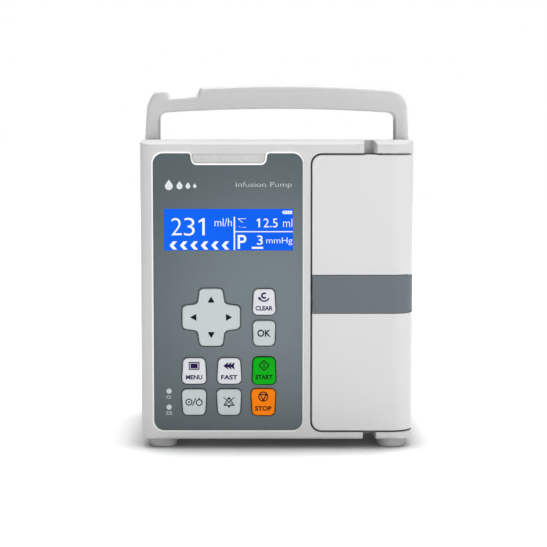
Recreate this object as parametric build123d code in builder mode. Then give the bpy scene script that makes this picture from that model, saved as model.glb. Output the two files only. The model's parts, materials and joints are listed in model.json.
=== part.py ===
from build123d import *

import os
from math import cos, pi, radians, sin, sqrt

# Infusion pump with a swing door, a carrying handle and a pole clamp at the back.
# Millimetres. +Z is up and the front faces -Y. The origin is on the table under the middle of the whole part.
# A depth is measured backwards from the front face, so Y = depth - TOTAL_DEPTH / 2.

# --- Body ---
WIDTH = 150.0
TOTAL_DEPTH = 165.0
BODY_DEPTH = 120.0
FOOT_HEIGHT = 5.0
FRONT_EDGE_Z = 166.7
TOP_Z = 169.6
CROWN_RUN = 28.0
CROWN_R = (CROWN_RUN**2 + (TOP_Z - FRONT_EDGE_Z) ** 2) / (2 * (TOP_Z - FRONT_EDGE_Z))
LOW_CHAMFER = 1.2
LEFT_CORNER_R = 8.0
SIDE_EDGE_R = 2.0
EDGE_OFFSET = 0.05         # keeps the side roundings from running out tangent to the top and the bottom
REAR_CORNER_R = 7.0
WALL = 2.5
FRONT_WALL = 3.5
SPLIT_DEPTH = 34.0
SIDE_X = WIDTH / 2

# --- Front panel ---
PANEL_X = (-67.5, 13.9)
PANEL_Z = (9.9, 161.9)
PANEL_R = 5.4
OVERLAY_DEPTH = 0.9
OVERLAY_T = 0.9
POCKET_CHAMFER = 0.8
POCKET_GAP = 0.15
TAB_TOP_X = (-47.6, -4.9)
TAB_BOTTOM_X = (-46.7, -5.9)
TAB_BOTTOM_Z = 155.5
TAB_R = 3.4
TAB_NECK_R = 1.3
LENS_TOP_X = (-46.1, -6.4)
LENS_BOTTOM_X = (-45.3, -7.2)
LENS_Z = (156.9, 161.5)
LENS_R = 2.0
LENS_FACE_DEPTH = 0.15
SCREEN_X = (-61.7, 8.8)
SCREEN_Z = (109.0, 131.8)
LIGHT_X = -59.4
LIGHT_ZS = (31.5, 22.6)
LIGHT_R = 1.45

# --- Keys: centre across, centre up, width, height, and how much narrower the top is than the bottom ---
KEYS = {
    "clear": (-7.05, 80.9, 12.0, 14.2, 0.8),
    "ok": (-7.1, 63.65, 12.0, 13.8, -0.6),
    "menu": (-45.5, 42.8, 12.7, 14.3, 0.8),
    "fast": (-26.2, 42.8, 12.7, 14.3, 0.8),
    "start": (-7.1, 42.9, 12.4, 15.0, 0.6),
    "power": (-45.6, 25.5, 12.9, 14.3, -0.8),
    "mute": (-26.4, 25.5, 12.9, 14.3, -0.8),
    "stop": (-7.5, 25.5, 12.8, 14.7, -0.8),
}
KEY_R = 2.7
KEY_GAP = 0.5
KEY_FACE_DEPTH = 0.1
KEY_FLANGE_DEPTH = 3.6
KEY_FLANGE_T = 1.2
KEY_FLANGE_LIP = 0.9
PAD_X, PAD_Z = -36.06, 72.4
PAD_SPAN = 31.6
PAD_TIP_W = 12.5
PAD_ROOT_W = 14.7
PAD_R = 2.6
PAD_POST_R = 2.6
PIVOT_DEPTH = 4.6
MAT_DEPTH = 6.2
MAT_T = 1.0
BOARD_DEPTH = 7.3
BOARD_T = 1.6

# --- Door and its bay ---
BAY_LEFT_X = 18.3
BAY_Z = (8.8, 162.0)
BAY_DEPTH = 17.0
BAY_R = 6.0
DOOR_X0 = 19.1
DOOR_Z = (9.6, 161.2)
DOOR_T = 16.0
DOOR_WALL = 2.2
DOOR_CORNER_R = 5.4
HINGE_R = 12.0
HINGE_X = SIDE_X - HINGE_R
HINGE_DEPTH = HINGE_R
SEAT_R = HINGE_R + 0.4
SEAT_X0 = 58.5
KNUCKLE_R = 4.0
HINGE_PIN_R = 2.5
PIN_CLEARANCE = 0.05
INNER_PLATE_T = 3.2
TUBE_X = 51.0
PLATEN_X = (44.8, 57.2)
PLATEN_Z = (52.5, 123.5)
TUBE_GROOVE_W = 6.0
TUBE_GROOVE_T = 2.2
NOTCH_FRONT_X = (47.2, 54.7)
NOTCH_APEX_R = 2.6
NOTCH_APEX_DEPTH = 15.5

# --- Latch ---
LEVER_Z = (74.7, 95.5)
LEVER_T = 2.6
LEVER_SWEEP_R = 16.2
LEVER_END_ANGLE = -22.0
LEVER_KNUCKLE_R = 2.0
LEVER_PIN_R = 1.2
LEVER_PIVOT_R = HINGE_R - LEVER_KNUCKLE_R
LEVER_PIVOT_X = HINGE_X + LEVER_PIVOT_R * cos(radians(LEVER_END_ANGLE))
LEVER_PIVOT_DEPTH = HINGE_DEPTH + LEVER_PIVOT_R * sin(radians(LEVER_END_ANGLE))
LATCH_X = (23.2, 27.2)
LATCH_DEPTH = (9.2, 12.2)
HOOK_ZS = (36.0, 130.0)
HOOK_T = 5.0
HOOK_NOSE = 2.5
LATCH_TRAVEL = 5.0

# --- Pumping mechanism ---
FINGERS = 8
FINGER_PITCH = 8.0
FINGER_T = 7.4
FINGER_W = 8.0
FINGER_Z0 = 60.0
FINGER_TIP_DEPTH = 17.4
CAM_DEPTH = 47.5
CAM_R = 6.0
CAM_THROW = 1.2
SHAFT_R = 3.0
YOKE_DEPTH = (36.5, 58.5)
FRAME_BACK_DEPTH = (61.5, 64.5)
YOKE_W = 18.8
YOKE_OPENING = (14.9, 17.2)
GEAR_MODULE = 0.8
GEAR_TEETH = 48
PINION_TEETH = 20
GEAR_Z = (132.0, 137.0)
GEAR_CENTRES = GEAR_MODULE * (GEAR_TEETH + PINION_TEETH) / 2
MOTOR_X = TUBE_X - GEAR_CENTRES
MOTOR_W = 28.0
MOTOR_Z = (92.0, 124.0)
FRAME_ARM_Z = ((45.5, 50.0), (124.0, 128.0))
PLATE_DEPTH = BAY_DEPTH + WALL
PLATE_T = 2.0
SENSOR_ZS = (40.0, 143.0)
SENSOR_R = 3.0
CLAMP_JAW_Z = 30.5
BUBBLE_Z = (15.0, 24.0)

# --- Handle ---
HANDLE_DEPTH = (37.0, 55.0)
HANDLE_TOP_Z = 200.4
HANDLE_END_Z = 198.0
GRIP_LOW_Z = 187.3
HANDLE_OUTER_R = 3.0
REST_CORNERS = ((-63.2, 197.2), (-60.6, 193.2), (-45.4, 194.6), (-43.4, 199.0))
REST_RADII = (1.4, 0.9, 0.9, 1.4)
HANDLE_INNER_R = 0.8
GRIP_LOW_END_Z = 185.0
HANDLE_TOP_X = 73.8
LEG_INNER_X = 67.0

# --- Sockets at the back and the battery bay underneath ---
INLET_X, INLET_Z = -44.0, 34.0
DATA_X, DATA_Z = -44.0, 66.0
GROUND_X, GROUND_Z = -18.0, 24.0
BATTERY_X = (-30.0, 40.0)
BATTERY_DEPTH = (68.0, 108.0)

# --- Pole clamp ---
CLAMP_Z = (74.0, 110.0)
CLAMP_MID_Z = (CLAMP_Z[0] + CLAMP_Z[1]) / 2
POLE_DEPTH = 145.5
ARM_X = (-36.0, -25.0)
JAW_TIP_X, JAW_VALLEY_X, JAW_BACK_X = 27.0, 33.5, 44.0
CLAMP_BASE_DEPTH = 126.0
BRACKET_BOLTS = [(x, z) for x in (-8, 22) for z in (80, 104)]
SCREW_R = 5.0
SCREW_CLEARANCE = 0.07
SCREW_END_X = -8.5
KNOB_X = (-74.0, -58.0)
KNOB_R = 18.5
PAD_X_SPAN = (-10.5, -2.0)


def y_at(depth):
    """Y of a point that lies this far behind the front face."""
    return depth - TOTAL_DEPTH / 2


def facing(depth):
    """Plane parallel to the front face at a depth: local axes along X and Z, normal towards the user."""
    return Plane.XZ.offset(-y_at(depth))


def block(x_span, depth_span, z_span, mode=Mode.ADD):
    """Box in the open part, given by its spans across, backwards and upwards."""
    x_mid = (x_span[0] + x_span[1]) / 2
    y_mid = y_at((depth_span[0] + depth_span[1]) / 2)
    z_mid = (z_span[0] + z_span[1]) / 2
    with Locations((x_mid, y_mid, z_mid)):
        Box(x_span[1] - x_span[0], depth_span[1] - depth_span[0], z_span[1] - z_span[0], mode=mode)


def post(x, depth, radius, z_span, mode=Mode.ADD):
    """Upright cylinder in the open part."""
    with Locations((x, y_at(depth), (z_span[0] + z_span[1]) / 2)):
        Cylinder(radius, z_span[1] - z_span[0], mode=mode)


def rod(x, z, radius, depth_span, mode=Mode.ADD):
    """Cylinder along Y in the open part."""
    with Locations(Location((x, y_at((depth_span[0] + depth_span[1]) / 2), z), (90, 0, 0))):
        Cylinder(radius, depth_span[1] - depth_span[0], mode=mode)


def span_rectangle(x_span, y_span, radius=0.0, mode=Mode.ADD):
    """Rectangle in the open sketch given by its spans, with rounded corners if a radius is given."""
    with Locations(((x_span[0] + x_span[1]) / 2, (y_span[0] + y_span[1]) / 2)):
        if radius:
            RectangleRounded(x_span[1] - x_span[0], y_span[1] - y_span[0], radius, mode=mode)
        else:
            Rectangle(x_span[1] - x_span[0], y_span[1] - y_span[0], mode=mode)


def key_outlines(grow, names):
    """Sketch of the named keys' four-sided outlines, grown all round."""
    with BuildSketch(facing(0)) as outlines:
        for name in names:
            x, z, width, height, taper = KEYS[name]
            low = (width + taper) / 2 + grow
            high = (width - taper) / 2 + grow
            half = height / 2 + grow
            with Locations((x, z)):
                Polygon((-low, -half), (low, -half), (high, half), (-high, half), align=None)
        fillet(outlines.vertices(), KEY_R + grow)
    return outlines.sketch


def pad_outline(grow):
    """Sketch of the four-way key's cross, grown all round."""
    with BuildSketch(facing(0)) as outline:
        tip = PAD_TIP_W / 2 + grow
        root = PAD_ROOT_W / 2 + grow
        reach = PAD_SPAN / 2 + grow
        for turn in (0, 90):
            with Locations(Location((PAD_X, PAD_Z, 0), (0, 0, turn))):
                Polygon(
                    (-tip, -reach), (tip, -reach), (root, -root), (root, root),
                    (tip, reach), (-tip, reach), (-root, root), (-root, -root), align=None,
                )
        fillet(outline.vertices(), PAD_R)
    return outline.sketch


def panel_outline(grow):
    """Sketch of the panel, grown all round, with a notch in its top edge for the alarm light's tab."""
    with BuildSketch(facing(0)) as outline:
        span_rectangle(
            (PANEL_X[0] - grow, PANEL_X[1] + grow), (PANEL_Z[0] - grow, PANEL_Z[1] + grow), PANEL_R + grow,
        )
        Polygon(
            (TAB_TOP_X[0] + grow, PANEL_Z[1] + 1), (TAB_TOP_X[1] - grow, PANEL_Z[1] + 1),
            (TAB_BOTTOM_X[1] - grow, TAB_BOTTOM_Z + grow), (TAB_BOTTOM_X[0] + grow, TAB_BOTTOM_Z + grow),
            align=None, mode=Mode.SUBTRACT,
        )
        for row, radius in ((0, TAB_R - grow), (-1, TAB_NECK_R + grow)):
            corners = outline.vertices().filter_by(lambda v: TAB_TOP_X[0] - 1 < v.X < TAB_TOP_X[1] + 1)
            fillet(corners.filter_by(lambda v: v.Y > TAB_BOTTOM_Z - 1).group_by(Axis.Y)[row], radius)
    return outline.sketch


def lens_outline(grow):
    """Sketch of the alarm light's lens, grown all round."""
    with BuildSketch(facing(0)) as outline:
        low, high = LENS_Z[0] - grow, LENS_Z[1] + grow
        Polygon(
            (LENS_TOP_X[0] - grow, high), (LENS_TOP_X[1] + grow, high),
            (LENS_BOTTOM_X[1] + grow, low), (LENS_BOTTOM_X[0] - grow, low), align=None,
        )
        fillet(outline.vertices().group_by(Axis.Y)[0], LENS_R)
        fillet(outline.vertices().group_by(Axis.Y)[-1], 0.5)
    return outline.sketch


def deepen(sketch, depth_from, depth_to, mode=Mode.ADD):
    """Extrude a front-facing sketch between two depths in the open part."""
    extrude(sketch.moved(Location((0, depth_from, 0))), amount=-(depth_to - depth_from), mode=mode)


def tube_notch():
    """Sketch of the slot in a lip that the infusion line drops into: wide at the front, round at its end."""
    with BuildSketch(Plane.XY) as outline:
        Polygon(
            (NOTCH_FRONT_X[0], y_at(-1)), (NOTCH_FRONT_X[1], y_at(-1)),
            (TUBE_X + NOTCH_APEX_R, y_at(NOTCH_APEX_DEPTH)), (TUBE_X - NOTCH_APEX_R, y_at(NOTCH_APEX_DEPTH)),
            align=None,
        )
        with Locations((TUBE_X, y_at(NOTCH_APEX_DEPTH))):
            Circle(NOTCH_APEX_R)
    return outline.sketch


def raise_up(sketch, z_span, mode=Mode.ADD):
    """Extrude a plan sketch between two heights in the open part."""
    extrude(sketch.moved(Location((0, 0, z_span[0]))), amount=z_span[1] - z_span[0], mode=mode)


def save(builder, label):
    """Name a finished piece and write it to its own file."""
    builder.part.label = label
    export_step(builder.part, f"parts/{label}.step")


os.makedirs("parts", exist_ok=True)

# --- Body form: the outside of both housings together ---
with BuildPart() as body_form:
    with BuildSketch(Plane.XY.offset(FOOT_HEIGHT)) as plan:
        span_rectangle((-SIDE_X, SIDE_X), (y_at(0), y_at(BODY_DEPTH)))
        fillet(plan.vertices().group_by(Axis.Y)[-1], REAR_CORNER_R)
        fillet(plan.vertices().group_by(Axis.Y)[0].sort_by(Axis.X)[0], LEFT_CORNER_R)
        fillet(plan.vertices().group_by(Axis.Y)[0].sort_by(Axis.X)[-1], HINGE_R)
    extrude(amount=TOP_Z - FOOT_HEIGHT)
    with BuildSketch(facing(0)):
        span_rectangle((-SIDE_X, SIDE_X), (FOOT_HEIGHT - EDGE_OFFSET, TOP_Z + EDGE_OFFSET), SIDE_EDGE_R)
    extrude(amount=-BODY_DEPTH, mode=Mode.INTERSECT)
    with BuildSketch(Plane.YZ.offset(-SIDE_X)) as side:
        # The outline runs a little past the front face, so that the crown is cut by it cleanly
        lead = 1.0
        lead_z = TOP_Z - CROWN_R + sqrt(CROWN_R**2 - (CROWN_RUN + lead) ** 2)
        with BuildLine():
            crown = TangentArc((y_at(CROWN_RUN), TOP_Z), (y_at(-lead), lead_z), tangent=(-1, 0))
            Polyline(
                crown @ 1, (y_at(-lead), FOOT_HEIGHT + LOW_CHAMFER + lead), (y_at(LOW_CHAMFER), FOOT_HEIGHT),
                (y_at(BODY_DEPTH), FOOT_HEIGHT), (y_at(BODY_DEPTH), TOP_Z), crown @ 0,
            )
        make_face()
        fillet(side.vertices().group_by(Axis.Y)[-1], 3)
    extrude(amount=WIDTH, mode=Mode.INTERSECT)

# --- Front housing: front wall, panel pocket, door bay with its two lips, screw bosses ---
with BuildPart() as front_housing:
    add(body_form.part)
    split(bisect_by=facing(SPLIT_DEPTH), keep=Keep.TOP)
    with BuildSketch(Plane.XY.offset(FOOT_HEIGHT + WALL)) as hollow:
        inner_x = SIDE_X - WALL
        Polygon(
            (-inner_x, y_at(FRONT_WALL)), (BAY_LEFT_X - WALL, y_at(FRONT_WALL)),
            (BAY_LEFT_X - WALL, y_at(PLATE_DEPTH)), (SEAT_X0 - WALL, y_at(PLATE_DEPTH)),
            (SEAT_X0 - WALL, y_at(27)), (inner_x, y_at(27)),
            (inner_x, y_at(SPLIT_DEPTH + 1)), (-inner_x, y_at(SPLIT_DEPTH + 1)), align=None,
        )
        fillet(hollow.vertices().sort_by(Axis.Y)[0:2].sort_by(Axis.X)[0], LEFT_CORNER_R - WALL)
    extrude(amount=FRONT_EDGE_Z - 2 * WALL - FOOT_HEIGHT, mode=Mode.SUBTRACT)
    with BuildSketch(facing(0)) as bay:
        span_rectangle((BAY_LEFT_X, SIDE_X + 10), BAY_Z, BAY_R)
    deepen(bay.sketch, -1, BAY_DEPTH, Mode.SUBTRACT)
    block((70, SIDE_X + 1), (-1, BAY_DEPTH + 1.5), BAY_Z, Mode.SUBTRACT)
    with BuildSketch(Plane.XY.offset(BAY_Z[0])):
        with Locations((HINGE_X, y_at(HINGE_DEPTH))):
            Circle(SEAT_R)
        span_rectangle((SEAT_X0, SIDE_X), (y_at(0), y_at(30)), mode=Mode.INTERSECT)
    extrude(amount=BAY_Z[1] - BAY_Z[0], mode=Mode.SUBTRACT)
    # Room for the latch lever's outer face when both the lever and the door stand open
    with BuildSketch(Plane.XY) as lever_sweep:
        with Locations((HINGE_X, y_at(HINGE_DEPTH))):
            Circle(LEVER_SWEEP_R)
        span_rectangle((SEAT_X0, SIDE_X + 1), (y_at(0), y_at(25.5)), mode=Mode.INTERSECT)
    raise_up(lever_sweep.sketch, (LEVER_Z[0] - 3, LEVER_Z[1] + 3), Mode.SUBTRACT)
    raise_up(tube_notch(), (BAY_Z[1] - 1, TOP_Z + 1), Mode.SUBTRACT)
    raise_up(tube_notch(), (FOOT_HEIGHT - 1, BAY_Z[0] + 1), Mode.SUBTRACT)
    block((40, SEAT_X0 - WALL), (BAY_DEPTH - 1, PLATE_DEPTH + 1), (13, 151), Mode.SUBTRACT)
    # Groove for the infusion line above and below the mechanism opening
    tube_side_x = (TUBE_X - TUBE_GROOVE_W / 2, TUBE_X + TUBE_GROOVE_W / 2)
    block(tube_side_x, (BAY_DEPTH - 1, BAY_DEPTH + 1.6), BAY_Z, Mode.SUBTRACT)
    for hook_z in HOOK_ZS:
        slot_z = (hook_z - HOOK_NOSE - 0.6, hook_z + HOOK_T + LATCH_TRAVEL + 0.8)
        block((21.4, 28.4), (BAY_DEPTH - 1, PLATE_DEPTH + 1), slot_z, Mode.SUBTRACT)
    # Pocket for the panel, with a chamfer round its edge
    extrude(panel_outline(POCKET_GAP + POCKET_CHAMFER), amount=-POCKET_CHAMFER, taper=45, mode=Mode.SUBTRACT)
    deepen(panel_outline(POCKET_GAP), 0, OVERLAY_DEPTH + OVERLAY_T, Mode.SUBTRACT)
    deepen(lens_outline(0.1), 0, OVERLAY_DEPTH + OVERLAY_T, Mode.SUBTRACT)
    deepen(key_outlines(KEY_GAP, KEYS), 0, FRONT_WALL + 1, Mode.SUBTRACT)
    deepen(pad_outline(KEY_GAP), 0, FRONT_WALL + 1, Mode.SUBTRACT)
    block(
        (SCREEN_X[0] + 0.5, SCREEN_X[1] - 0.5), (0, FRONT_WALL + 1),
        (SCREEN_Z[0] + 0.5, SCREEN_Z[1] - 0.5), Mode.SUBTRACT,
    )
    block((-42, -10), (1, FRONT_WALL + 1), (157.1, 160.3), Mode.SUBTRACT)
    for light_z in LIGHT_ZS:
        rod(LIGHT_X, light_z, LIGHT_R + 0.1, (0, FRONT_WALL + 1), Mode.SUBTRACT)
    # Holes for the hinge pins
    post(HINGE_X, HINGE_DEPTH, HINGE_PIN_R, (BAY_Z[1] - 1, 165.5), Mode.SUBTRACT)
    post(HINGE_X, HINGE_DEPTH, HINGE_PIN_R, (6.3, BAY_Z[0] + 1), Mode.SUBTRACT)
    # Bosses for the case screws
    for boss_x in (-66.5, 66.5):
        boss_from = FRONT_WALL if boss_x < 0 else 27
        for boss_z in (16, 150):
            rod(boss_x, boss_z, 5.0, (boss_from - 0.5, SPLIT_DEPTH))
            rod(boss_x, boss_z, 1.7, (27, SPLIT_DEPTH + 1), Mode.SUBTRACT)
save(front_housing, "front_housing")

# --- Rear housing: open-fronted shell with vents, screw towers and openings for what passes through it ---
with BuildPart() as rear_housing:
    add(body_form.part)
    split(bisect_by=facing(SPLIT_DEPTH), keep=Keep.BOTTOM)
    block(
        (-SIDE_X + WALL, SIDE_X - WALL), (SPLIT_DEPTH - 1, BODY_DEPTH - WALL),
        (FOOT_HEIGHT + WALL, TOP_Z - WALL), Mode.SUBTRACT,
    )
    for tower_x in (-66.5, 66.5):
        for tower_z in (16, 150):
            rod(tower_x, tower_z, 6.2, (SPLIT_DEPTH, BODY_DEPTH - 1))
            rod(tower_x, tower_z, 4.0, (50, BODY_DEPTH + 1), Mode.SUBTRACT)
            rod(tower_x, tower_z, 1.8, (SPLIT_DEPTH - 1, 51), Mode.SUBTRACT)
    # Handle sockets in the top wall
    for side_sign in (-1, 1):
        socket_x = sorted((side_sign * 67.4, side_sign * 72.0))
        block(socket_x, (HANDLE_DEPTH[0] + 1.9, HANDLE_DEPTH[1] - 1.9), (160, TOP_Z + 1), Mode.SUBTRACT)
    # Cooling slots: six on each side and a row across the back
    for slot in range(6):
        slot_depth = 62 + 6 * slot
        for side_sign in (-1, 1):
            slot_x = sorted((side_sign * (SIDE_X - WALL - 1), side_sign * (SIDE_X + 1)))
            block(slot_x, (slot_depth, slot_depth + 2.2), (30, 58), Mode.SUBTRACT)
    for slot in range(10):
        slot_x0 = 12 + 5 * slot
        block((slot_x0, slot_x0 + 2.2), (BODY_DEPTH - WALL - 1, BODY_DEPTH + 1), (134, 156), Mode.SUBTRACT)
    # Sound holes in rings in front of the speaker
    with BuildSketch(facing(BODY_DEPTH)):
        with Locations((-40, 132)):
            Circle(1.1)
            for ring in (1, 2, 3):
                with PolarLocations(4.0 * ring, 6 * ring):
                    Circle(1.1)
    extrude(amount=WALL + 1, mode=Mode.SUBTRACT)
    block(
        (INLET_X - 13.7, INLET_X + 13.7), (BODY_DEPTH - WALL - 1, BODY_DEPTH + 1),
        (INLET_Z - 10.2, INLET_Z + 10.2), Mode.SUBTRACT,
    )
    block(
        (DATA_X - 8.2, DATA_X + 8.2), (BODY_DEPTH - WALL - 1, BODY_DEPTH + 1),
        (DATA_Z - 7.2, DATA_Z + 7.2), Mode.SUBTRACT,
    )
    rod(GROUND_X, GROUND_Z, 3.1, (BODY_DEPTH - WALL - 1, BODY_DEPTH + 1), Mode.SUBTRACT)
    block(
        (BATTERY_X[0] + 2, BATTERY_X[1] - 2), (BATTERY_DEPTH[0] + 2, BATTERY_DEPTH[1] - 2),
        (FOOT_HEIGHT - 1, FOOT_HEIGHT + WALL + 1), Mode.SUBTRACT,
    )
    block(BATTERY_X, BATTERY_DEPTH, (FOOT_HEIGHT - 1, FOOT_HEIGHT + 1.5), Mode.SUBTRACT)
    for bolt_x, bolt_z in BRACKET_BOLTS:
        rod(bolt_x, bolt_z, 2.1, (BODY_DEPTH - WALL - 1, BODY_DEPTH + 1), Mode.SUBTRACT)
save(rear_housing, "rear_housing")

# --- Carrying handle: a fixed arch with a stepped rest in its top, tenons down into the body ---
with BuildPart() as carry_handle:
    with BuildSketch(facing(HANDLE_DEPTH[0])) as arch:
        with BuildLine():
            leg_left = Line((-SIDE_X, TOP_Z - 3), (-HANDLE_TOP_X, 186))
            corner_left = Spline(
                (-HANDLE_TOP_X, 186), (-71.3, 193.5), (-65.6, 197.2), tangents=(leg_left % 1, (1, 0)),
            )
            rest = Polyline(corner_left @ 1, *REST_CORNERS)
            crest = ThreePointArc(rest @ 1, (0, HANDLE_TOP_Z), (63.0, HANDLE_END_Z))
            corner_right = Spline(
                crest @ 1, (70.6, 194.4), (HANDLE_TOP_X, 187), tangents=(crest % 1, (0.07, -1)),
            )
            leg_right = Line(corner_right @ 1, (SIDE_X, TOP_Z - 3))
            Line(leg_right @ 1, leg_left @ 0)
        make_face()
        with BuildLine():
            grip = ThreePointArc(
                (-LEG_INNER_X, GRIP_LOW_END_Z), (0, GRIP_LOW_Z), (LEG_INNER_X, GRIP_LOW_END_Z),
            )
            Polyline(grip @ 1, (LEG_INNER_X, 150), (-LEG_INNER_X, 150), grip @ 0)
        make_face(mode=Mode.SUBTRACT)
        inner_corners = arch.vertices().filter_by(
            lambda v: abs(v.Y - GRIP_LOW_END_Z) < 0.1 and abs(abs(v.X) - LEG_INNER_X) < 0.1
        )
        fillet(inner_corners, 4.0)
        for (corner_x, corner_z), radius in zip(REST_CORNERS, REST_RADII):
            fillet(arch.vertices().sort_by_distance((corner_x, corner_z))[0], radius)
    extrude(amount=-(HANDLE_DEPTH[1] - HANDLE_DEPTH[0]))
    # The outer edges are well rounded, the edges round the grip only a little
    for outside, radius in ((True, HANDLE_OUTER_R), (False, HANDLE_INNER_R)):
        rims = carry_handle.edges().filter_by(
            lambda e: min(abs(e.center().Y - y_at(depth)) for depth in HANDLE_DEPTH) < 0.01
            and e.bounding_box().max.Z > TOP_Z - 2
            and (e.bounding_box().max.Z > GRIP_LOW_Z + 0.5 or abs(e.center().X) > LEG_INNER_X + 0.5)
            is outside
        )
        fillet(rims, radius)
    add(body_form.part, mode=Mode.SUBTRACT)
    for side_sign in (-1, 1):
        tenon_x = sorted((side_sign * 67.5, side_sign * 71.9))
        block(tenon_x, (HANDLE_DEPTH[0] + 2, HANDLE_DEPTH[1] - 2), (157.5, TOP_Z + 4))
save(carry_handle, "carry_handle")

# --- Rubber feet: four slightly tapered discs ---
with BuildPart() as rubber_feet:
    with BuildSketch(Plane.XY.offset(FOOT_HEIGHT)):
        with GridLocations(127, 96, 2, 2):
            with Locations((0, y_at(BODY_DEPTH / 2))):
                Circle(8.2)
    extrude(amount=-FOOT_HEIGHT, taper=6)
save(rubber_feet, "rubber_feet")

# --- Front panel sheet with its openings ---
with BuildPart() as panel_overlay:
    deepen(panel_outline(0), OVERLAY_DEPTH, OVERLAY_DEPTH + OVERLAY_T)
    deepen(key_outlines(KEY_GAP, KEYS), OVERLAY_DEPTH - 1, OVERLAY_DEPTH + OVERLAY_T + 1, Mode.SUBTRACT)
    deepen(pad_outline(KEY_GAP), OVERLAY_DEPTH - 1, OVERLAY_DEPTH + OVERLAY_T + 1, Mode.SUBTRACT)
    block(SCREEN_X, (OVERLAY_DEPTH - 1, OVERLAY_DEPTH + OVERLAY_T + 1), SCREEN_Z, Mode.SUBTRACT)
    for light_z in LIGHT_ZS:
        rod(LIGHT_X, light_z, LIGHT_R + 0.05, (0, OVERLAY_DEPTH + OVERLAY_T + 1), Mode.SUBTRACT)
save(panel_overlay, "panel_overlay")

# --- Alarm light lens: the visible face and the light guide behind it ---
with BuildPart() as alarm_light_lens:
    deepen(lens_outline(0), LENS_FACE_DEPTH, OVERLAY_DEPTH + OVERLAY_T)
    block((-41.8, -10.2), (OVERLAY_DEPTH + OVERLAY_T, 8), (157.3, 160.1))
save(alarm_light_lens, "alarm_light_lens")

# --- Display: clear window in the panel, module behind it ---
with BuildPart() as display_window:
    block(
        (SCREEN_X[0] + 0.05, SCREEN_X[1] - 0.05), (OVERLAY_DEPTH + 0.05, OVERLAY_DEPTH + OVERLAY_T - 0.1),
        (SCREEN_Z[0] + 0.05, SCREEN_Z[1] - 0.05),
    )
save(display_window, "display_window")

with BuildPart() as display_module:
    block(
        (SCREEN_X[0] + 0.7, SCREEN_X[1] - 0.7), (1.9, FRONT_WALL + 0.1),
        (SCREEN_Z[0] + 0.7, SCREEN_Z[1] - 0.7),
    )
    block((SCREEN_X[0] + 1.4, SCREEN_X[1] + 4), (FRONT_WALL + 0.1, 7.2), (SCREEN_Z[0] - 4, SCREEN_Z[1] + 5))
    block((SCREEN_X[0] + 1.4, SCREEN_X[1] + 4), (7.2, 8.8), (SCREEN_Z[0] - 6, SCREEN_Z[1] + 7))
save(display_module, "display_module")

# --- Light pipes for the mains and battery lights ---
with BuildPart() as status_light_pipes:
    for light_z in LIGHT_ZS:
        rod(LIGHT_X, light_z, LIGHT_R, (OVERLAY_DEPTH, 6.0))
        rod(LIGHT_X, light_z, LIGHT_R + 0.6, (FRONT_WALL, 4.5))
save(status_light_pipes, "status_light_pipes")

# --- Keys: a bevelled cap through the panel and a flange that keeps it in ---
for key_name in KEYS:
    with BuildPart() as key:
        deepen(key_outlines(0, [key_name]), KEY_FACE_DEPTH, KEY_FLANGE_DEPTH)
        chamfer(key.faces().sort_by(Axis.Y)[0].edges(), 0.45)
        deepen(key_outlines(KEY_FLANGE_LIP, [key_name]), KEY_FLANGE_DEPTH, KEY_FLANGE_DEPTH + KEY_FLANGE_T)
    save(key, f"key_{key_name}")

# --- Four-way key, rocking on a ring round its post ---
with BuildPart() as key_four_way:
    deepen(pad_outline(0), KEY_FACE_DEPTH, 3.0)
    chamfer(key_four_way.faces().sort_by(Axis.Y)[0].edges(), 0.5)
    rod(PAD_X, PAD_Z, PAD_POST_R, (2.5, 5.4))
save(key_four_way, "key_four_way")

with BuildPart() as four_way_pivot_ring:
    rod(PAD_X, PAD_Z, PAD_POST_R + 2.0, (PIVOT_DEPTH - 0.6, PIVOT_DEPTH + 0.6))
    rod(PAD_X, PAD_Z, PAD_POST_R + 0.5, (PIVOT_DEPTH - 1, PIVOT_DEPTH + 1), Mode.SUBTRACT)
    for side_sign in (-1, 1):
        trunnion_x = sorted((PAD_X + side_sign * (PAD_POST_R + 1.5), PAD_X + side_sign * (PAD_POST_R + 3.4)))
        block(trunnion_x, (PIVOT_DEPTH - 0.5, PIVOT_DEPTH + 0.5), (PAD_Z - 0.5, PAD_Z + 0.5))
save(four_way_pivot_ring, "four_way_pivot_ring")

# --- Rubber key mat with a dome behind each key, and the board it lies on ---
with BuildPart() as keypad_mat:
    block((-60, 6), (MAT_DEPTH, MAT_DEPTH + MAT_T), (13, 92))
    for key_x, key_z, _, _, _ in KEYS.values():
        rod(key_x, key_z, 3.5, (MAT_DEPTH - 0.5, MAT_DEPTH + 0.5))
    for arm_x, arm_z in ((-9.6, 0), (9.6, 0), (0, -9.6), (0, 9.6)):
        rod(PAD_X + arm_x, PAD_Z + arm_z, 2.6, (4.2, MAT_DEPTH + 0.5))
    for light_z in LIGHT_ZS:
        rod(LIGHT_X, light_z, LIGHT_R + 0.8, (MAT_DEPTH - 1, MAT_DEPTH + MAT_T + 1), Mode.SUBTRACT)
save(keypad_mat, "keypad_mat")

with BuildPart() as keypad_board:
    block((-61, 8), (BOARD_DEPTH, BOARD_DEPTH + BOARD_T), (12, 94))
    block((-20, 4), (BOARD_DEPTH + BOARD_T, 13), (84, 91))
save(keypad_board, "keypad_board")

# --- Door shell: rounded knuckle along its right edge, pocket across it for the latch lever ---


def door_plan():
    """Plan sketch of the door: flat to the left of the hinge, round about it on the right."""
    with BuildSketch(Plane.XY) as outline:
        with Locations((HINGE_X, y_at(HINGE_DEPTH))):
            Circle(HINGE_R)
        span_rectangle((HINGE_X, SIDE_X + 1), (y_at(-1), y_at(HINGE_DEPTH)), mode=Mode.INTERSECT)
        with Locations((HINGE_X, y_at(HINGE_DEPTH))):
            Circle(KNUCKLE_R)
        span_rectangle((DOOR_X0, HINGE_X), (y_at(0), y_at(DOOR_T)))
    return outline.sketch


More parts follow.
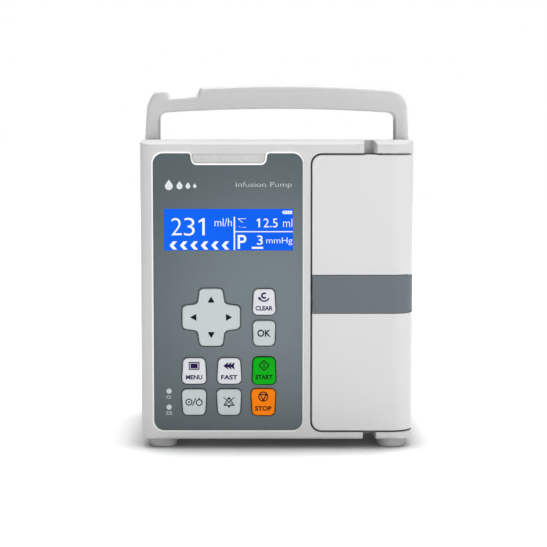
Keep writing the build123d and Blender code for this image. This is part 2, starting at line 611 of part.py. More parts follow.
def lever_plan(grow):
    """Plan sketch of the latch lever: flat bar, curved end and knuckle."""
    with BuildSketch(Plane.XY) as outline:
        reach = 20
        end = radians(LEVER_END_ANGLE)
        with Locations((HINGE_X, y_at(HINGE_DEPTH))):
            Circle(HINGE_R + grow)
            Circle(HINGE_R - LEVER_T - grow, mode=Mode.SUBTRACT)
            Polygon(
                (0, 0), (0, -reach), (reach, -reach), (reach * cos(end), reach * sin(end)),
                align=None, mode=Mode.INTERSECT,
            )
        with Locations((LEVER_PIVOT_X, y_at(LEVER_PIVOT_DEPTH))):
            Circle(LEVER_KNUCKLE_R + grow)
        span_rectangle((DOOR_X0 + 0.4 - 3 * grow, HINGE_X), (y_at(-grow), y_at(LEVER_T + grow)))
    return outline.sketch


def lever_face(grow, radius):
    """Front-facing sketch of the latch lever, grown above and below, its right-hand corners rounded."""
    with BuildSketch(facing(0)) as outline:
        span_rectangle((DOOR_X0 - 4, SIDE_X), (LEVER_Z[0] - grow, LEVER_Z[1] + grow))
        fillet(outline.vertices().group_by(Axis.X)[-1], radius)
    return outline.sketch


with BuildPart() as door_shell:
    raise_up(door_plan(), DOOR_Z)
    with BuildSketch(facing(0)) as door_face:
        span_rectangle((DOOR_X0, SIDE_X), DOOR_Z)
        fillet(door_face.vertices().group_by(Axis.X)[0], DOOR_CORNER_R)
    extrude(amount=-(DOOR_T + 1), mode=Mode.INTERSECT)
    front_edges = door_shell.faces().sort_by(Axis.Y)[0].edges()
    corner_edges = door_shell.edges().filter_by(GeomType.CIRCLE).filter_by(
        lambda e: abs(e.radius - HINGE_R) < 0.01
    )
    left_edges = front_edges.filter_by(lambda e: e.center().X < HINGE_X - 0.1)
    fillet(left_edges + corner_edges, 0.8)
    block(
        (DOOR_X0 + DOOR_WALL, 58), (DOOR_WALL, DOOR_T + 1),
        (DOOR_Z[0] + DOOR_WALL, DOOR_Z[1] - DOOR_WALL), Mode.SUBTRACT,
    )
    block((DOOR_X0 + 1, 59), (DOOR_WALL - 1, 5), (LEVER_Z[0] - 2.5, LEVER_Z[1] + 2.5))
    block((DOOR_X0 + 1, 27), (4, 8.4), (LEVER_Z[0] - 0.5, LEVER_Z[1] + 0.5))
    with BuildPart(mode=Mode.PRIVATE) as lever_room:
        raise_up(lever_plan(0.3), (LEVER_Z[0] - 3, LEVER_Z[1] + 3))
        extrude(lever_face(0.3, 2.5), amount=-20, mode=Mode.INTERSECT)
    add(lever_room.part, mode=Mode.SUBTRACT)
    block((DOOR_X0 - 1, 25), (-1, 6.5), (LEVER_Z[0] + 1.8, LEVER_Z[1] - 1.8), Mode.SUBTRACT)
    post(HINGE_X, HINGE_DEPTH, HINGE_PIN_R + PIN_CLEARANCE, (DOOR_Z[1] - 9, DOOR_Z[1] + 1), Mode.SUBTRACT)
    post(HINGE_X, HINGE_DEPTH, HINGE_PIN_R + PIN_CLEARANCE, (DOOR_Z[0] - 1, DOOR_Z[0] + 9), Mode.SUBTRACT)
    post(LEVER_PIVOT_X, LEVER_PIVOT_DEPTH, LEVER_PIN_R, (LEVER_Z[0] - 3, LEVER_Z[1] + 3), Mode.SUBTRACT)
    # Groove for the infusion line through the top and bottom rims
    for rim_z in ((DOOR_Z[0] - 1, DOOR_Z[0] + DOOR_WALL + 1), (DOOR_Z[1] - DOOR_WALL - 1, DOOR_Z[1] + 1)):
        block(
            (TUBE_X - TUBE_GROOVE_W / 2, TUBE_X + TUBE_GROOVE_W / 2), (DOOR_T - TUBE_GROOVE_T, DOOR_T + 1),
            rim_z, Mode.SUBTRACT,
        )
save(door_shell, "door_shell")

# --- Door inner plate: the door's back, with the line's groove, the platen opening and hook slots ---
with BuildPart() as door_inner_plate:
    block(
        (DOOR_X0 + DOOR_WALL + 0.1, 57.9), (DOOR_T - INNER_PLATE_T, DOOR_T),
        (DOOR_Z[0] + DOOR_WALL + 0.1, DOOR_Z[1] - DOOR_WALL - 0.1),
    )
    block(
        (TUBE_X - TUBE_GROOVE_W / 2, TUBE_X + TUBE_GROOVE_W / 2), (DOOR_T - TUBE_GROOVE_T, DOOR_T + 1),
        (DOOR_Z[0], DOOR_Z[1]), Mode.SUBTRACT,
    )
    block(
        (PLATEN_X[0] - 0.4, PLATEN_X[1] + 0.4), (DOOR_T - INNER_PLATE_T - 1, DOOR_T + 1),
        (PLATEN_Z[0] - 0.4, PLATEN_Z[1] + 0.4), Mode.SUBTRACT,
    )
    for hook_z in HOOK_ZS:
        slot_z = (hook_z - HOOK_NOSE - 0.6, hook_z + HOOK_T + LATCH_TRAVEL + 0.6)
        block((LATCH_X[0] - 0.4, LATCH_X[1] + 0.4), (DOOR_T - 5, DOOR_T + 1), slot_z, Mode.SUBTRACT)
save(door_inner_plate, "door_inner_plate")

# --- Platen: the sprung block that the fingers press the line against, its springs and its retaining lip ---
with BuildPart() as platen:
    block(PLATEN_X, (10.0, 14.2), PLATEN_Z)
    block((PLATEN_X[0], PLATEN_X[1] + 0.2), (9.0, 12.2), (PLATEN_Z[0] - 2, PLATEN_Z[1] + 2))
save(platen, "platen")

with BuildPart() as platen_springs:
    for spring_z in (60, 67, 107, 115):
        rod(TUBE_X, spring_z, 2.6, (DOOR_WALL, 9.0))
        rod(TUBE_X, spring_z, 1.9, (DOOR_WALL - 1, 10.0), Mode.SUBTRACT)
save(platen_springs, "platen_springs")

# --- Latch lever, its pin, and the bar with two hooks that it moves ---
with BuildPart() as latch_lever:
    raise_up(lever_plan(0), LEVER_Z)
    extrude(lever_face(0, 4.0), amount=-20, mode=Mode.INTERSECT)
    post(
        LEVER_PIVOT_X, LEVER_PIVOT_DEPTH, LEVER_PIN_R + PIN_CLEARANCE,
        (LEVER_Z[0] - 1, LEVER_Z[1] + 1), Mode.SUBTRACT,
    )
save(latch_lever, "latch_lever")

with BuildPart() as lever_pin:
    post(LEVER_PIVOT_X, LEVER_PIVOT_DEPTH, LEVER_PIN_R, (LEVER_Z[0] - 2.5, LEVER_Z[1] + 2.5))
save(lever_pin, "lever_pin")

with BuildPart() as latch_bar:
    block(LATCH_X, LATCH_DEPTH, (HOOK_ZS[0] - 6, HOOK_ZS[1] + 10))
    for hook_z in HOOK_ZS:
        block(LATCH_X, (LATCH_DEPTH[1] - 1, 22), (hook_z, hook_z + HOOK_T))
        block(LATCH_X, (20, 22), (hook_z - HOOK_NOSE, hook_z + 1))
save(latch_bar, "latch_bar")

# --- Door hinge pins, pressed into the two lips ---
with BuildPart() as hinge_pins:
    post(HINGE_X, HINGE_DEPTH, HINGE_PIN_R, (DOOR_Z[1] - 8, 165))
    post(HINGE_X, HINGE_DEPTH, HINGE_PIN_R, (6.8, DOOR_Z[0] + 8))
save(hinge_pins, "hinge_pins")

# --- Mechanism plate behind the bay wall, with openings for fingers, sensors and the flow clamp ---
with BuildPart() as mechanism_plate:
    block((36, SEAT_X0 - WALL - 0.2), (PLATE_DEPTH, PLATE_DEPTH + PLATE_T), (10.5, 153.5))
    block(
        (TUBE_X - FINGER_W / 2 - 0.2, TUBE_X + FINGER_W / 2 + 0.2),
        (PLATE_DEPTH - 1, PLATE_DEPTH + PLATE_T + 1),
        (FINGER_Z0 - FINGER_T / 2 - 0.4, FINGER_Z0 + (FINGERS - 1) * FINGER_PITCH + FINGER_T / 2 + 0.4),
        Mode.SUBTRACT,
    )
    for sensor_z in SENSOR_ZS:
        rod(TUBE_X, sensor_z, SENSOR_R + 0.1, (PLATE_DEPTH - 1, PLATE_DEPTH + PLATE_T + 1), Mode.SUBTRACT)
    block(
        (TUBE_X - 2.9, TUBE_X + 2.9), (PLATE_DEPTH - 1, PLATE_DEPTH + PLATE_T + 1),
        (CLAMP_JAW_Z - 2.7, CLAMP_JAW_Z + 2.7), Mode.SUBTRACT,
    )
    block(
        (TUBE_X - 4.9, TUBE_X + 4.4), (PLATE_DEPTH - 1, PLATE_DEPTH + PLATE_T + 1),
        (BUBBLE_Z[0] - 0.1, BUBBLE_Z[1] + 0.1), Mode.SUBTRACT,
    )
save(mechanism_plate, "mechanism_plate")

# --- Mechanism frame: two arms with bearing seats, joined by a back plate; the motor is on the upper arm ---
with BuildPart() as mechanism_frame:
    for arm_z in FRAME_ARM_Z:
        block((40.5, 55.4), (PLATE_DEPTH + PLATE_T, FRAME_BACK_DEPTH[1]), arm_z)
        block((40.5, 64), (28, FRAME_BACK_DEPTH[1]), arm_z)
    block((40.5, 64), FRAME_BACK_DEPTH, (FRAME_ARM_Z[0][0], FRAME_ARM_Z[1][1]))
    block((MOTOR_X - 15, 41), (CAM_DEPTH - 15, CAM_DEPTH + 15), FRAME_ARM_Z[1])
    for arm_z in FRAME_ARM_Z:
        post(TUBE_X, CAM_DEPTH, 8.0, (arm_z[0] - 1, arm_z[1] + 1), Mode.SUBTRACT)
    post(MOTOR_X, CAM_DEPTH, 5.2, (FRAME_ARM_Z[1][0] - 1, FRAME_ARM_Z[1][1] + 1), Mode.SUBTRACT)
save(mechanism_frame, "mechanism_frame")

# --- Camshaft with one round eccentric cam for each finger ---


def cam_angle(finger):
    """Direction in which a finger's cam is offset at rest, in radians."""
    return 2 * pi * finger / FINGERS


with BuildPart() as camshaft:
    post(TUBE_X, CAM_DEPTH, SHAFT_R, (44, 139.5))
    for finger in range(FINGERS):
        finger_z = FINGER_Z0 + finger * FINGER_PITCH
        post(
            TUBE_X + CAM_THROW * cos(cam_angle(finger)),
            CAM_DEPTH + CAM_THROW * sin(cam_angle(finger)), CAM_R,
            (finger_z - FINGER_PITCH / 2, finger_z + FINGER_PITCH / 2),
        )
save(camshaft, "camshaft")

with BuildPart() as shaft_bearings:
    for arm_z in FRAME_ARM_Z:
        post(TUBE_X, CAM_DEPTH, 8.0, arm_z)
        post(TUBE_X, CAM_DEPTH, SHAFT_R + PIN_CLEARANCE, (arm_z[0] - 1, arm_z[1] + 1), Mode.SUBTRACT)
save(shaft_bearings, "shaft_bearings")


def gear_outline(teeth, first_tooth_angle):
    """Sketch of a spur gear with straight-sided teeth, centred on the origin."""
    pitch_r = GEAR_MODULE * teeth / 2
    root_r = pitch_r - 1.2 * GEAR_MODULE
    tip_r = pitch_r + 0.85 * GEAR_MODULE
    with BuildSketch(Plane.XY) as outline:
        Circle(root_r)
        with PolarLocations(0, teeth, start_angle=first_tooth_angle):
            Polygon(
                (root_r - 0.4, -0.75), (pitch_r, -0.52), (tip_r, -0.22),
                (tip_r, 0.22), (pitch_r, 0.52), (root_r - 0.4, 0.75), align=None,
            )
    return outline.sketch


with BuildPart() as cam_gear:
    raise_up(gear_outline(GEAR_TEETH, 0).moved(Location((TUBE_X, y_at(CAM_DEPTH), 0))), GEAR_Z)
    post(TUBE_X, CAM_DEPTH, 6.0, (GEAR_Z[0] - 2.5, GEAR_Z[1] + 1))
    post(TUBE_X, CAM_DEPTH, SHAFT_R, (GEAR_Z[0] - 4, GEAR_Z[1] + 4), Mode.SUBTRACT)
save(cam_gear, "cam_gear")

with BuildPart() as motor_pinion:
    half_tooth = 180 / PINION_TEETH
    raise_up(gear_outline(PINION_TEETH, half_tooth).moved(Location((MOTOR_X, y_at(CAM_DEPTH), 0))), GEAR_Z)
    post(MOTOR_X, CAM_DEPTH, 2.5, (MOTOR_Z[1] - 12, GEAR_Z[1] + 1.5))
save(motor_pinion, "motor_pinion")

with BuildPart() as stepper_motor:
    with BuildSketch(Plane.XY.offset(MOTOR_Z[0])):
        with Locations((MOTOR_X, y_at(CAM_DEPTH))):
            RectangleRounded(MOTOR_W, MOTOR_W, 3)
    extrude(amount=MOTOR_Z[1] - MOTOR_Z[0])
    post(MOTOR_X, CAM_DEPTH, 5.0, (MOTOR_Z[1] - 1, MOTOR_Z[1] + 3))
    post(MOTOR_X, CAM_DEPTH, 2.5 + PIN_CLEARANCE, (MOTOR_Z[1] - 13, MOTOR_Z[1] + 4), Mode.SUBTRACT)
save(stepper_motor, "stepper_motor")

# --- Pump fingers: a blade that presses the line, and a yoke round its cam ---
for finger in range(FINGERS):
    finger_z = FINGER_Z0 + finger * FINGER_PITCH
    shift = CAM_THROW * sin(cam_angle(finger))
    slab_z = (finger_z - FINGER_T / 2, finger_z + FINGER_T / 2)
    with BuildPart() as pump_finger:
        blade_depth = (FINGER_TIP_DEPTH + shift, YOKE_DEPTH[0] + 1 + shift)
        block((TUBE_X - FINGER_W / 2, TUBE_X + FINGER_W / 2), blade_depth, slab_z)
        tip_edges = pump_finger.faces().sort_by(Axis.Y)[0].edges().filter_by(Axis.Z)
        fillet(tip_edges, 1.5)
        yoke_depth = (YOKE_DEPTH[0] + shift, YOKE_DEPTH[1] + shift)
        block((TUBE_X - YOKE_W / 2, TUBE_X + YOKE_W / 2), yoke_depth, slab_z)
        opening_depth = (CAM_DEPTH - YOKE_OPENING[1] / 2 + shift, CAM_DEPTH + YOKE_OPENING[1] / 2 + shift)
        opening_x = (TUBE_X - YOKE_OPENING[0] / 2, TUBE_X + YOKE_OPENING[0] / 2)
        block(opening_x, opening_depth, slab_z, Mode.SUBTRACT)
    save(pump_finger, f"pump_finger_{finger + 1}")

# --- Line sensors and the jaw that shuts the line when the door is open ---
with BuildPart() as pressure_sensors:
    for sensor_z in SENSOR_ZS:
        rod(TUBE_X, sensor_z, SENSOR_R, (18.6, PLATE_DEPTH + PLATE_T))
        rod(TUBE_X, sensor_z, 2.2, (PLATE_DEPTH + PLATE_T - 1, 25))
save(pressure_sensors, "pressure_sensors")

with BuildPart() as bubble_sensor:
    block((TUBE_X - 4.7, TUBE_X + 4.2), (17.2, 30), BUBBLE_Z)
    block((TUBE_X - 2.3, TUBE_X + 2.3), (16, 21.2), (BUBBLE_Z[0] - 1, BUBBLE_Z[1] + 1), Mode.SUBTRACT)
save(bubble_sensor, "bubble_sensor")

with BuildPart() as flow_clamp_jaw:
    block((TUBE_X - 2.5, TUBE_X + 2.5), (17.6, 27), (CLAMP_JAW_Z - 2.3, CLAMP_JAW_Z + 2.3))
    jaw_edges = flow_clamp_jaw.faces().sort_by(Axis.Y)[0].edges().filter_by(Axis.X)
    fillet(jaw_edges, 1.4)
    block((TUBE_X - 4, TUBE_X + 4), (27, 29), (CLAMP_JAW_Z - 3.5, CLAMP_JAW_Z + 3.5))
save(flow_clamp_jaw, "flow_clamp_jaw")

with BuildPart() as flow_clamp_spring:
    rod(TUBE_X, CLAMP_JAW_Z, 3.0, (29, 39))
    rod(TUBE_X, CLAMP_JAW_Z, 2.3, (28, 40), Mode.SUBTRACT)
save(flow_clamp_spring, "flow_clamp_spring")

# --- Electronics and power ---
with BuildPart() as main_board:
    block((-58, 6), (62, 63.6), (18, 128))
    block((-50, -34), (60, 62.5), (96, 112))
    block((-26, -14), (59.5, 62.5), (100, 112))
    block((-54, -20), (58, 62.5), (72, 80))
    block((-6, 2), (57, 62.5), (40, 70))
save(main_board, "main_board")

with BuildPart() as power_supply:
    block((-60, -34), (66, 67.6), (46, 122))
    block((-56, -38), (67.6, 88), (82, 110))
    block((-56, -40), (67.6, 84), (60, 76))
    post(-48, 78, 5, (50, 60))
save(power_supply, "power_supply")

with BuildPart() as battery_pack:
    block((BATTERY_X[0] + 4, BATTERY_X[1] - 4), (BATTERY_DEPTH[0] + 3, BATTERY_DEPTH[1] - 3), (8.5, 44))
    fillet(battery_pack.edges().filter_by(Axis.Z), 3)
save(battery_pack, "battery_pack")

with BuildPart() as battery_cover:
    block(
        (BATTERY_X[0] + 0.2, BATTERY_X[1] - 0.2), (BATTERY_DEPTH[0] + 0.2, BATTERY_DEPTH[1] - 0.2),
        (FOOT_HEIGHT, FOOT_HEIGHT + 1.5),
    )
    block(
        (BATTERY_X[0] + 2.2, BATTERY_X[1] - 2.2), (BATTERY_DEPTH[0] + 2.2, BATTERY_DEPTH[1] - 2.2),
        (FOOT_HEIGHT + 1.5, FOOT_HEIGHT + 3),
    )
save(battery_cover, "battery_cover")

with BuildPart() as speaker:
    rod(-40, 132, 14, (BODY_DEPTH - WALL - 3, BODY_DEPTH - WALL))
    rod(-40, 132, 9, (BODY_DEPTH - WALL - 11, BODY_DEPTH - WALL - 3))
save(speaker, "speaker")

with BuildPart() as power_inlet:
    block((INLET_X - 13.5, INLET_X + 13.5), (102, BODY_DEPTH), (INLET_Z - 10, INLET_Z + 10))
    block((INLET_X - 15.5, INLET_X + 15.5), (BODY_DEPTH, BODY_DEPTH + 2), (INLET_Z - 12, INLET_Z + 12))
    block((INLET_X - 12, INLET_X + 12), (105, BODY_DEPTH + 3), (INLET_Z - 8.3, INLET_Z + 8.3), Mode.SUBTRACT)
    for blade_x in (-7, 0, 7):
        blade_z = INLET_Z + (1.5 if blade_x == 0 else -1.5)
        block(
            (INLET_X + blade_x - 1, INLET_X + blade_x + 1), (104, BODY_DEPTH - 1), (blade_z - 2, blade_z + 2),
        )
save(power_inlet, "power_inlet")

with BuildPart() as data_connector:
    block((DATA_X - 8, DATA_X + 8), (104, BODY_DEPTH + 0.5), (DATA_Z - 7, DATA_Z + 7))
    block((DATA_X - 6, DATA_X + 6), (108, BODY_DEPTH + 1), (DATA_Z - 4, DATA_Z + 4), Mode.SUBTRACT)
save(data_connector, "data_connector")

with BuildPart() as ground_post:
    rod(GROUND_X, GROUND_Z, 3.0, (112, 130))
    rod(GROUND_X, GROUND_Z, 5.0, (BODY_DEPTH, BODY_DEPTH + 1.5))
    rod(GROUND_X, GROUND_Z, 5.0, (BODY_DEPTH - WALL - 2, BODY_DEPTH - WALL))
save(ground_post, "ground_post")

with BuildPart() as case_and_bracket_screws:
    for tower_x in (-66.5, 66.5):
        for tower_z in (16, 150):
            rod(tower_x, tower_z, 3.2, (50, 52.4))
            rod(tower_x, tower_z, 1.7, (28, 50.5))
    for bolt_x, bolt_z in BRACKET_BOLTS:
        rod(bolt_x, bolt_z, 2.0, (112, 123.5))
        rod(bolt_x, bolt_z, 3.6, (123, 125.6))
save(case_and_bracket_screws, "case_and_bracket_screws")

# --- Pole clamp: bracket bolted to the back, a screw with a knob, and the pad it pushes ---
with BuildPart() as clamp_bracket:
    with BuildSketch(Plane.XY.offset(CLAMP_Z[0])) as bracket_plan:
        Polygon(
            (ARM_X[0], y_at(BODY_DEPTH)), (JAW_BACK_X, y_at(BODY_DEPTH)),
            (JAW_BACK_X, y_at(TOTAL_DEPTH)), (JAW_TIP_X, y_at(TOTAL_DEPTH)),
            (JAW_VALLEY_X, y_at(POLE_DEPTH)), (JAW_TIP_X, y_at(CLAMP_BASE_DEPTH)),
            (ARM_X[1], y_at(CLAMP_BASE_DEPTH)), (ARM_X[1], y_at(TOTAL_DEPTH)),
            (ARM_X[0], y_at(TOTAL_DEPTH)), align=None,
        )
        fillet(bracket_plan.vertices().filter_by(lambda v: v.Y > y_at(BODY_DEPTH + 1)), 1.8)
    extrude(amount=CLAMP_Z[1] - CLAMP_Z[0])
    ends = clamp_bracket.faces().filter_by(Axis.Z).edges()
    chamfer(ends.filter_by(lambda e: e.center().Y > y_at(BODY_DEPTH + 1)), 0.8)
    with Locations(Location(((ARM_X[0] + ARM_X[1]) / 2, y_at(POLE_DEPTH), CLAMP_MID_Z), (0, 90, 0))):
        Cylinder(SCREW_R + SCREW_CLEARANCE, 20, mode=Mode.SUBTRACT)
    for bolt_x, bolt_z in BRACKET_BOLTS:
        rod(bolt_x, bolt_z, 2.1, (BODY_DEPTH - 1, 128), Mode.SUBTRACT)
        rod(bolt_x, bolt_z, 3.8, (123, 128), Mode.SUBTRACT)
save(clamp_bracket, "clamp_bracket")

with BuildPart() as clamp_screw:
    screw_x0 = KNOB_X[1] - 2
    with Locations(Location(((screw_x0 + SCREW_END_X) / 2, y_at(POLE_DEPTH), CLAMP_MID_Z), (0, 90, 0))):
        Cylinder(SCREW_R, SCREW_END_X - screw_x0)
    with BuildSketch(Plane.YZ.offset(KNOB_X[0])):
        with Locations((y_at(POLE_DEPTH), CLAMP_MID_Z)):
            Circle(KNOB_R)
            with PolarLocations(KNOB_R + 3, 8):
                Circle(5.5, mode=Mode.SUBTRACT)
    extrude(amount=KNOB_X[1] - KNOB_X[0])
    knob_rims = clamp_screw.faces().sort_by(Axis.X)[0].edges()
    fillet(knob_rims, 1.2)
save(clamp_screw, "clamp_screw")

with BuildPart() as clamp_pad:
    block(PAD_X_SPAN, (POLE_DEPTH - 12, POLE_DEPTH + 12), (CLAMP_MID_Z - 13, CLAMP_MID_Z + 13))
    fillet(clamp_pad.edges().filter_by(Axis.X), 3)
    with Locations(Location((PAD_X_SPAN[0], y_at(POLE_DEPTH), CLAMP_MID_Z), (0, 90, 0))):
        Cylinder(SCREW_R + 0.1, 7, mode=Mode.SUBTRACT)
save(clamp_pad, "clamp_pad")
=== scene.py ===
import json
import math

import bmesh
import bpy
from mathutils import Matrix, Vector


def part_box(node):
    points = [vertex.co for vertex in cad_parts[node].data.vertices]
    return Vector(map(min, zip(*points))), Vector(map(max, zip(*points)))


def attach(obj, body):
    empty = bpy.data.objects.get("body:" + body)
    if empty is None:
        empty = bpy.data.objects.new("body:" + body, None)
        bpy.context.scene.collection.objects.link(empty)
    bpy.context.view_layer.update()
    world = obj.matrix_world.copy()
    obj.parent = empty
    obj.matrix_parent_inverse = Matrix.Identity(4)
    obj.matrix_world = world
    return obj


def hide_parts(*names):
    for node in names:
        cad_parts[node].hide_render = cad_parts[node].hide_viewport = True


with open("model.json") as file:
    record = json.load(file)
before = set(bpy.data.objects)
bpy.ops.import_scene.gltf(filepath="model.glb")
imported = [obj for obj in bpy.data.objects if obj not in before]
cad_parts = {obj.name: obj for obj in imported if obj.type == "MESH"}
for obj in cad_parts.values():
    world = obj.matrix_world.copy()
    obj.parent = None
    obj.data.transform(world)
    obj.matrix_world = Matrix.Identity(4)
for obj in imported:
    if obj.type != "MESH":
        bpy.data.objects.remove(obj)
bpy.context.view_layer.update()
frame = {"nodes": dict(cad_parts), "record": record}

# Infusion pump: CAD parts get their materials here, and printed legends, the lit display and small
# trim are built on them. Metres, the frame of the CAD model. MM turns millimetres into metres.
MM = 0.001
NODES = frame["nodes"]
SLOT_OF = {entry["node"]: entry["material_slot"] for entry in frame["record"]["subparts"]}
FRONT_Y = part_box("front_housing")[0].y
PRINT_T = 0.03 * MM          # thickness of printed ink
PLASTIC_IOR = 1.46
WHITE = (1, 1, 1, 1)


# --- Materials ---------------------------------------------------------------------------------


def srgb(red, green, blue):
    """Linear colour from 8-bit sRGB values."""
    def linear(value):
        value /= 255
        return value / 12.92 if value <= 0.04045 else ((value + 0.055) / 1.055) ** 2.4
    return (linear(red), linear(green), linear(blue), 1.0)


def shaded(colour, factor):
    """Colour made darker or lighter by a factor."""
    return tuple(min(1.0, channel * factor) for channel in colour[:3]) + (1.0,)


class Surface:
    """A node material that is put together step by step."""

    def __init__(self, name, roughness, metallic=0.0, coat=0.0, coat_roughness=0.1):
        self.material = bpy.data.materials.new(name)
        self.material.use_nodes = True
        self.nodes = self.material.node_tree.nodes
        self.links = self.material.node_tree.links
        self.shader = self.nodes["Principled BSDF"]
        self.shader.inputs["Metallic"].default_value = metallic
        self.shader.inputs["Roughness"].default_value = roughness
        self.shader.inputs["Coat Weight"].default_value = coat
        self.shader.inputs["Coat Roughness"].default_value = coat_roughness
        self.shader.inputs["IOR"].default_value = PLASTIC_IOR
        self.place = self.nodes.new("ShaderNodeTexCoord").outputs["Object"]
        self.normal = None

    def noise(self, scale, detail=3.0, stretch=(1, 1, 1)):
        """Noise value on the object's own coordinates, scale in features a metre."""
        mapping = self.nodes.new("ShaderNodeMapping")
        mapping.inputs["Scale"].default_value = stretch
        self.links.new(self.place, mapping.inputs["Vector"])
        texture = self.nodes.new("ShaderNodeTexNoise")
        texture.inputs["Scale"].default_value = scale
        texture.inputs["Detail"].default_value = detail
        self.links.new(mapping.outputs["Vector"], texture.inputs["Vector"])
        return texture.outputs["Fac"]

    def spread(self, value, low, high):
        """Map a noise value, which keeps to the middle of 0 to 1, into a range."""
        stretch = self.nodes.new("ShaderNodeMapRange")
        stretch.inputs["From Min"].default_value = 0.3
        stretch.inputs["From Max"].default_value = 0.7
        stretch.inputs["To Min"].default_value = low
        stretch.inputs["To Max"].default_value = high
        self.links.new(value, stretch.inputs["Value"])
        return stretch.outputs["Result"]

    def colours(self, value, first, second):
        """Blend two colours by a value and return the result."""
        mix = self.nodes.new("ShaderNodeMix")
        mix.data_type = "RGBA"
        mix.inputs["A"].default_value = first
        mix.inputs["B"].default_value = second
        self.links.new(value, mix.inputs["Factor"])
        return mix.outputs["Result"]

    def distance_from(self, centre, scale):
        """Distance from a point of the object, scaled on each axis."""
        mapping = self.nodes.new("ShaderNodeMapping")
        mapping.vector_type = "TEXTURE"
        mapping.inputs["Location"].default_value = centre
        mapping.inputs["Scale"].default_value = scale
        self.links.new(self.place, mapping.inputs["Vector"])
        length = self.nodes.new("ShaderNodeVectorMath")
        length.operation = "LENGTH"
        self.links.new(mapping.outputs["Vector"], length.inputs[0])
        return length.outputs["Value"]

    def ramp(self, value, start, end):
        """Smooth 0 to 1 step between two values."""
        step = self.nodes.new("ShaderNodeMapRange")
        step.interpolation_type = "SMOOTHSTEP"
        step.inputs["From Min"].default_value = start
        step.inputs["From Max"].default_value = end
        self.links.new(value, step.inputs["Value"])
        return step.outputs["Result"]

    def multiplied(self, first, second):
        """First colour times the second."""
        mix = self.nodes.new("ShaderNodeMix")
        mix.data_type = "RGBA"
        mix.blend_type = "MULTIPLY"
        mix.inputs["Factor"].default_value = 1.0
        self.links.new(first, mix.inputs["A"])
        self.links.new(second, mix.inputs["B"])
        return mix.outputs["Result"]

    def painted_gap_shade(self, colour, distance, darkest):
        """Darken a colour where surfaces meet closely: painted shade, as falls in real gaps."""
        occlusion = self.nodes.new("ShaderNodeAmbientOcclusion")
        occlusion.samples = 8
        occlusion.inputs["Distance"].default_value = distance
        return self.multiplied(colour, self.raised(occlusion.outputs["AO"], darkest))

    def raised(self, value, low):
        """Squeeze 0 to 1 into low to 1."""
        stretch = self.nodes.new("ShaderNodeMapRange")
        stretch.inputs["To Min"].default_value = low
        self.links.new(value, stretch.inputs["Value"])
        return stretch.outputs["Result"]

    def bump(self, value, strength, distance):
        """Add relief on top of what is there."""
        bump = self.nodes.new("ShaderNodeBump")
        bump.inputs["Strength"].default_value = strength
        bump.inputs["Distance"].default_value = distance
        self.links.new(value, bump.inputs["Height"])
        if self.normal is not None:
            self.links.new(self.normal, bump.inputs["Normal"])
        self.normal = bump.outputs["Normal"]

    def soft_edges(self, radius):
        """Round the shading over sharp moulded edges."""
        bevel = self.nodes.new("ShaderNodeBevel")
        bevel.samples = 4
        bevel.inputs["Radius"].default_value = radius
        self.normal = bevel.outputs["Normal"]

    def finish(self, colour=None, roughness=None):
        """Connect what was built and return the material."""
        if colour is not None:
            self.links.new(colour, self.shader.inputs["Base Color"])
        if roughness is not None:
            self.links.new(roughness, self.shader.inputs["Roughness"])
        if self.normal is not None:
            self.links.new(self.normal, self.shader.inputs["Normal"])
        return self.material


def moulded(name, colour, roughness, edge=0.35, grain=0.12, gap=None, darkest=0.45, specular=0.5):
    """Moulded plastic: fine grain, colour drift, softened edges; gap is how far, in mm, painted shade in gaps
    darkens it.
    """
    surface = Surface(name, roughness)
    surface.shader.inputs["Specular IOR Level"].default_value = specular
    surface.soft_edges(edge * MM)
    surface.bump(surface.noise(2600, 2.0), grain, 0.03 * MM)
    drift = surface.spread(surface.noise(38, 2.0), 0.0, 1.0)
    tint = surface.colours(drift, colour, shaded(colour, 0.985))
    # Painted shade: the colour darkens where the part meets others closely
    if gap:
        tint = surface.painted_gap_shade(tint, gap * MM, darkest)
    rough = surface.spread(surface.noise(420, 4.0), roughness - 0.05, roughness + 0.06)
    return surface.finish(tint, rough)


def key_cap(name, colour, roughness=0.45, specular=0.5):
    """Moulded key, with painted shade that turns it dark in the gap round it."""
    return moulded(name, colour, roughness, 0.3, gap=1.8, darkest=0.0, specular=specular)


def printed_sheet(name, colour, rim_shade_colour):
    """Screen-printed polyester sheet: fine orange-peel texture, with a painted sheen that is lightest in the
    middle and darkens towards the rim.
    """
    surface = Surface(name, 0.48)
    surface.bump(surface.noise(1900, 3.0), 0.2, 0.02 * MM)
    # Painted sheen: lighter in the middle of the sheet, darker towards its rim
    sheen_spot = surface.distance_from((-5 * MM, 0, 78 * MM), (95 * MM, 1.0, 92 * MM))
    tint = surface.colours(surface.ramp(sheen_spot, 0.15, 1.05), colour, rim_shade_colour)
    speck = surface.colours(surface.spread(surface.noise(5200, 1.0), 0.0, 1.0), WHITE, shaded(WHITE, 0.86))
    # Painted shade near the keys and the pocket's edges, over the random specks
    tint = surface.painted_gap_shade(surface.multiplied(tint, speck), 1.4 * MM, 0.25)
    rough = surface.spread(surface.noise(900, 3.0), 0.43, 0.53)
    return surface.finish(tint, rough)


def rubber(name, colour):
    """Matt elastomer with a dusty bloom."""
    surface = Surface(name, 0.75)
    surface.soft_edges(0.4 * MM)
    surface.bump(surface.noise(1500, 4.0), 0.35, 0.05 * MM)
    bloom = surface.spread(surface.noise(160, 5.0), 0.0, 1.0)
    tint = surface.colours(bloom, colour, shaded(colour, 1.25))
    rough = surface.spread(surface.noise(300, 3.0), 0.68, 0.85)
    return surface.finish(tint, rough)


